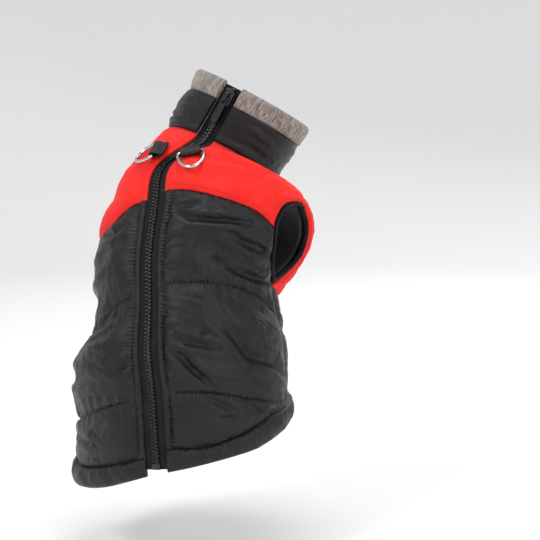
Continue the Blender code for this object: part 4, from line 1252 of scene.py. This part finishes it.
ringSizes = {
    "wire": 1.5, "halfWidth": 11.0, "depth": 21.0, "bowStart": 4.0, "sides": 16, "fineness": 4,
    "barPlaces": (-8.0, -4.0, 0.0, 4.0, 8.0), "barCorner": (0.8, 0.9), "bowPoints": 15,
    "webHalfWidth": 8.6, "webThickness": 1.3, "webReach": 9.0, "webCorner": 0.35,
    # the webbing bends round the bar, and its upper layer comes down to the lower one
    "webRoom": 0.45, "bendPoints": 9, "layerGap": 0.25, "bendTaper": (-3.2, 0.72),
    "webRise": (-6.0, 0.35), "webEnd": 0.6, "webReturn": -5.0,
    "sewnRows": (-6.7, -8.6), "sewnLift": -0.3, "sewnReach": 7.0, "sewnPitch": 2.8,
    "left": {"angle": -13.0, "station": 250.5, "lift": 2.6, "heading": 46.0, "droop": 7.0},
    "right": {"angle": 13.0, "station": 251.0, "lift": 1.75, "heading": 30.0, "droop": 0.0},
}


def smoothLoop(points, fineness):
    # a closed curve through the points
    points = np.array(points, float)
    before, after, beyond = (np.roll(points, shift, axis=0) for shift in (1, -1, -2))
    curve = []
    for t in np.arange(fineness) / fineness:
        curve.append(0.5 * (2 * points + (after - before) * t
                            + (2 * before - 5 * points + 4 * after - beyond) * t ** 2
                            + (3 * points - before - 3 * after + beyond) * t ** 3))
    return np.stack(curve, axis=1).reshape(-1, points.shape[1])


def loopRuns(points):
    runs = np.roll(points, -1, axis=0) - np.roll(points, 1, axis=0)
    return runs / np.linalg.norm(runs, axis=1, keepdims=True)


def ringPoints():
    half, start = ringSizes["halfWidth"], ringSizes["bowStart"]
    bow = [(half * math.cos(turn), start + (ringSizes["depth"] - start) * math.sin(turn))
           for turn in np.linspace(0, math.pi, ringSizes["bowPoints"])]
    bar = [(x, 0.0) for x in ringSizes["barPlaces"]]
    inset, lift = ringSizes["barCorner"]
    return smoothLoop(bar + [(half - inset, lift)] + bow + [(inset - half, lift)],
                      ringSizes["fineness"])


def webbingPoints():
    half, reach = ringSizes["webThickness"] / 2, ringSizes["webReach"]
    bend = ringSizes["wire"] + ringSizes["webRoom"] + half
    loop = [(bend * math.cos(turn), bend * math.sin(turn))
            for turn in np.radians(np.linspace(-90, 90, ringSizes["bendPoints"]))]
    under, over = -bend, -bend + ringSizes["webThickness"] + ringSizes["layerGap"]
    (taper, share), (rise, lift) = ringSizes["bendTaper"], ringSizes["webRise"]
    loop += [(taper, bend * share), (rise, over + lift), (-reach, over),
             (-reach - ringSizes["webEnd"], (under + over) / 2), (-reach, under),
             (ringSizes["webReturn"], under)]
    return smoothLoop(loop, ringSizes["fineness"])


strapRows = []
for side, sign in sides.items():
    row = ringSizes[side]
    base = frameAt(row["angle"], row["station"], row["lift"], flip=side == "right")
    base = base @ Matrix.Rotation(math.radians(-sign * row["heading"]), 4, "Z")
    droop = base @ Matrix.Rotation(-math.radians(row["droop"]), 4, "X")
    path = ringPoints()
    sections = []
    for (x, y), (runX, runY) in zip(path, loopRuns(path)):
        outward = Vector((runY, -runX, 0.0))
        sections.append([
            droop @ ((Vector((x, y, 0)) + outward * ringSizes["wire"] * math.cos(turn)
                      + Vector((0, 0, 1)) * ringSizes["wire"] * math.sin(turn)) * mm)
            for turn in (math.tau * k / ringSizes["sides"] for k in range(ringSizes["sides"]))])
    ring = sweptPiece(f"leashRing_{side}", sections, finishes["chrome"], True, f"ring_{side}")
    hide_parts(f"d_ring_{side}")

    path = webbingPoints()
    wide, half = ringSizes["webHalfWidth"], ringSizes["webThickness"] / 2
    narrow, low = wide - ringSizes["webCorner"], half * 0.4
    profile = ((-narrow, -half), (narrow, -half), (wide, -low), (wide, low),
               (narrow, half), (-narrow, half), (-wide, low), (-wide, -low))
    sections = []
    for (y, z), (runY, runZ) in zip(path, loopRuns(path)):
        sections.append([base @ (Vector((x, y + runZ * away, z - runY * away)) * mm)
                         for x, away in profile])
    strap = sweptPiece(f"ringWebbing_{side}", sections, finishes["webbing"], True)
    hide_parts(f"webbing_{side}")
    for down in ringSizes["sewnRows"]:
        for across in np.arange(-ringSizes["sewnReach"], ringSizes["sewnReach"] + 0.1,
                                ringSizes["sewnPitch"]):
            spot = Matrix.Translation((across * mm, down * mm, ringSizes["sewnLift"] * mm))
            strapRows.append(np.array(base @ spot))
print("rings made")


binding = {
    "turns": 220, "upStretch": 1.35, "sunkBelow": -7.0,
    "ripples": ((0.3, 2.6, 0.5, 551), (0.25, 7.0, 2.5, 552)),  # height, length, row and seed
    "points": ((1.6, -7.6), (1.6, -4.4), (2.2, -3.5), (3.2, -3.1), (4.2, -3.3),
               (5.0, -4.2), (5.1, -5.6), (4.7, -7.0), (4.0, -7.6)),
}


def armholePoint(sign, turn, inset):
    reach = cut["armholeBackward"] if math.cos(turn) < 0 else cut["armholeForward"]
    height = cut["armholeUp"] if math.sin(turn) > 0 else cut["armholeDown"]
    power = 2 / cut["armholePower"]
    across = math.copysign(abs(math.cos(turn)) ** power, math.cos(turn))
    upward = math.copysign(abs(math.sin(turn)) ** power, math.sin(turn))
    angle = cut["sideAngle"] + (reach - inset / cut["flatDegree"]) * across
    return sign * angle, cut["armholeStation"] + (height - inset * binding["upStretch"]) * upward


for side, sign in sides.items():
    sections = []
    for step in range(binding["turns"]):
        turn = math.tau * step / binding["turns"]
        ripple = sum(height * float(softNoise(step / length, row, seed))
                     for height, length, row, seed in binding["ripples"])
        rows = np.array([(*armholePoint(sign, turn, inset),
                          lift + (ripple if lift > binding["sunkBelow"] else 0))
                         for inset, lift in binding["points"]])
        sections.append(place(rows[:, 0], rows[:, 1], rows[:, 2]))
    strip = sweptPiece(f"armholeBinding_{side}", sections, finishes["tape"], True, sharpDegrees=70)
    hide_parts(f"armhole_binding_{side}")
print("bindings made")


sewing = {
    "pitch": 3.1, "length": 2.3, "width": 0.6, "height": 0.5,
    "quiltRaise": 0.15, "topRaise": 0.1, "hemRaise": 0.9,
    "bodySamples": 400, "yokeSamples": 300, "chestSamples": 500, "chordShare": 0.4,
    # where rows start and end: degrees from the zip, then how far short of a seam or an edge
    "bodyFrom": 9.5, "zipRowAngle": 8.0, "yokeReach": (7.5, 84.0),
    "sideShort": 1, "edgeShort": 3.0, "neckRow": (4.0, 3.0), "bodyRow": (1.5, 1.5),
    "besideZip": (16.0, 4.0), "besideArmhole": (18.0, 5.0), "besideChest": (8.0, 5.0),
}


def stitchRow(angle, station, lift):
    # stitches at even spacing along a line of places, lying along it
    points = place(angle, station, lift)
    outs = formTangents(angle, station)[2]
    passed = np.concatenate([[0], np.cumsum(np.linalg.norm(np.diff(points, axis=0), axis=1))])
    stops = np.arange(0.5 * sewing["pitch"] * mm, passed[-1], sewing["pitch"] * mm)
    half = sewing["chordShare"] * sewing["pitch"] * mm
    middle, before, after, out = (
        np.stack([np.interp(stops + shift, passed, table[:, axis]) for axis in range(3)], -1)
        for shift, table in ((0, points), (-half, points), (half, points), (0, outs)))
    run = after - before
    run = run / np.linalg.norm(run, axis=1, keepdims=True)
    out = out - run * np.sum(out * run, axis=1, keepdims=True)
    out = out / np.linalg.norm(out, axis=1, keepdims=True)
    matrices = np.zeros((len(stops), 4, 4))
    matrices[:, :3, 0], matrices[:, :3, 1] = run, np.cross(out, run)
    matrices[:, :3, 2], matrices[:, :3, 3] = out, middle
    matrices[:, 3, 3] = 1.0
    return list(matrices)


def stitchPiece(name, rows, material):
    thread = bmesh.new()
    bmesh.ops.create_uvsphere(thread, u_segments=6, v_segments=4, radius=0.5, matrix=Matrix.Diagonal(
        (sewing["length"] * mm, sewing["width"] * mm, sewing["height"] * mm, 1.0)))
    return repeated(name, thread, rows, material)


blackRows, redRows = list(strapRows), []


def sewAlong(rows, lift, angle, station, raised):
    rows += stitchRow(angle, station, lift(angle, station) + raised)


def between(low, high, short, samples):
    return np.linspace(low + short[0], high - short[1], samples)


neckTopstitch = cut["neckStation"] - yoke["topstitch"]
for side, sign in sides.items():
    bodyLift, yokeLift = panelLifts[side], softshellLifts[side]
    quiltRaise, topRaise = sewing["quiltRaise"], sewing["topRaise"]
    angle = sign * np.linspace(sewing["bodyFrom"], cut["sideAngle"] - sewing["sideShort"],
                               sewing["bodySamples"])
    for index in (1, 2):
        sewAlong(blackRows, bodyLift, angle, bodyLines(angle)[index], quiltRaise)
    station = lineStation(hemStitch, angle) + cut["halfSeam"] + sewing["hemRaise"]
    sewAlong(blackRows, bodyLift, angle, station, quiltRaise)
    low, high = (lineStation(line, sign * sewing["zipRowAngle"]) for line in (hemStitch, yokeSeam))
    station = between(low, high, sewing["bodyRow"], sewing["bodySamples"])
    angle = sign * zipAngle(station, quilting["topstitchReach"])
    sewAlong(blackRows, bodyLift, angle, station, topRaise)

    # the yoke: over its lower seam, under the neck, beside the zip and beside the armhole
    angle = sign * np.linspace(*sewing["yokeReach"], sewing["yokeSamples"])
    station = lineStation(yokeSeam, angle) + yoke["topstitch"]
    kept = np.abs(angle) < backEdge(station) - sewing["edgeShort"]
    sewAlong(redRows, yokeLift, angle[kept], station[kept], topRaise)
    angle = sign * between(zipAngle(cut["neckStation"]), cut["shoulderAtNeck"],
                           sewing["neckRow"], sewing["yokeSamples"])
    sewAlong(redRows, yokeLift, angle, np.full_like(angle, neckTopstitch), topRaise)
    station = between(cut["yokeCorner"][side], cut["neckStation"], sewing["besideZip"],
                      sewing["yokeSamples"])
    angle = sign * zipAngle(station, cut["zipHalfBand"] + yoke["topstitch"])
    sewAlong(redRows, yokeLift, angle, station, topRaise)
    station = between(cut["yokeCorner"][side], cut["neckStation"], sewing["besideArmhole"],
                      sewing["yokeSamples"])
    angle = sign * (backEdge(station) - yoke["topstitch"] / cut["flatDegree"])
    sewAlong(redRows, yokeLift, angle, station, topRaise)

sideShort, edgeShort = sewing["sideShort"], sewing["edgeShort"]
angle = np.linspace(cut["sideAngle"] + sideShort, 360 - sideShort - cut["sideAngle"],
                    sewing["chestSamples"])
for index, shift in ((0, sewing["hemRaise"]), (1, 0.0)):
    station = bellyLines(angle)[index] + shift
    sewAlong(blackRows, panelLifts["belly"], angle, station, sewing["quiltRaise"])
for level in (chestSeam + yoke["topstitch"], neckTopstitch):
    angle = np.linspace(frontEdge(level) + edgeShort, 360.0 - edgeShort - frontEdge(level),
                        sewing["chestSamples"])
    sewAlong(redRows, softshellLifts["chest"], angle, np.full_like(angle, level),
             sewing["topRaise"])
station = between(chestSeam, cut["neckStation"], sewing["besideChest"], sewing["yokeSamples"])
for mirror in (1.0, -1.0):
    angle = mirror * (frontEdge(station) + yoke["topstitch"] / cut["flatDegree"])
    angle = np.where(angle < 0, angle + 360.0, angle)
    sewAlong(redRows, softshellLifts["chest"], angle, station, sewing["topRaise"])
for name, rows, finish, slotName in (("blackStitches", blackRows, "blackThread", "nylon"),
                                     ("redStitches", redRows, "redThread", "red_softshell")):
    stitchPiece(name, rows, finishes[finish])
print("stitching made")


studio = {
    # metres, degrees and watts; the floor curves up beyond its flat reach
    "floorDepth": -0.312, "floorSize": 9.0, "flatReach": 2.3, "rise": 0.75, "floorFaces": 80,
    "floorColour": 0.93,
    "camera": {"azimuth": 26.0, "elevation": 6.0, "distance": 1.3,
               "target": (0.070, 0.046, -0.074), "lens": 102.0, "sensor": 36.0},
    "lights": (
        # place, aim, size, watts
        ((-0.55, -1.6, 1.5), (0.0, 0.0, -0.05), 0.8, 18.0),
        ((1.9, -0.8, 0.9), (0.0, 0.0, -0.05), 0.9, 13.0),
        ((0.1, 0.2, 2.0), (0.0, 0.05, -0.05), 1.0, 17.0),
        ((-0.2, 2.2, 1.2), (0.0, 0.1, 0.0), 1.2, 14.0),
    ),
    "worldLight": 0.52,
}
floorMaker = bmesh.new()
bmesh.ops.create_grid(floorMaker, x_segments=studio["floorFaces"], y_segments=studio["floorFaces"],
                      size=studio["floorSize"] / 2,
                      matrix=Matrix.Translation((0, 0, studio["floorDepth"])))
for vertex in floorMaker.verts:
    beyond = max(0.0, vertex.co.xy.length - studio["flatReach"])
    vertex.co.z += studio["rise"] * beyond ** 2
for face in floorMaker.faces:
    face.smooth = True
floorMesh = bpy.data.meshes.new("paleFloor")
floorMaker.to_mesh(floorMesh)
floorMaker.free()
floor = bpy.data.objects.new("paleFloor", floorMesh)
bpy.context.scene.collection.objects.link(floor)
floorPaint, _, floorShader = newMaterial("pale floor", 0.9, specular=0.1)
floorShader.inputs["Base Color"].default_value = (*[studio["floorColour"]] * 3, 1.0)
floorMesh.materials.append(floorPaint)


def aimed(item, spot, target):
    item.location = spot
    item.rotation_euler = (Vector(target) - Vector(spot)).to_track_quat("-Z", "Y").to_euler()


for number, (spot, target, size, watts) in enumerate(studio["lights"], 1):
    light = bpy.data.lights.new(f"softLight{number}", "AREA")
    light.shape, light.size, light.energy = "DISK", size, watts
    lamp = bpy.data.objects.new(light.name, light)
    aimed(lamp, spot, target)
    bpy.context.scene.collection.objects.link(lamp)
bpy.context.scene.view_settings.view_transform = "Standard"
world = bpy.data.worlds.new("paleRoom")
world.use_nodes = True
world.node_tree.nodes["Background"].inputs["Color"].default_value = (1.0, 1.0, 1.0, 1.0)
world.node_tree.nodes["Background"].inputs["Strength"].default_value = studio["worldLight"]
bpy.context.scene.world = world

view = studio["camera"]
lens = bpy.data.cameras.new("photoCamera")
lens.lens, lens.sensor_width = view["lens"], view["sensor"]
camera = bpy.data.objects.new("photoCamera", lens)
azimuth, elevation = math.radians(view["azimuth"]), math.radians(view["elevation"])
direction = Vector((math.sin(azimuth) * math.cos(elevation), -math.cos(azimuth) * math.cos(elevation),
                    math.sin(elevation)))
aimed(camera, Vector(view["target"]) + direction * view["distance"], view["target"])
bpy.context.scene.collection.objects.link(camera)
bpy.context.scene.camera = camera
print("studio made")
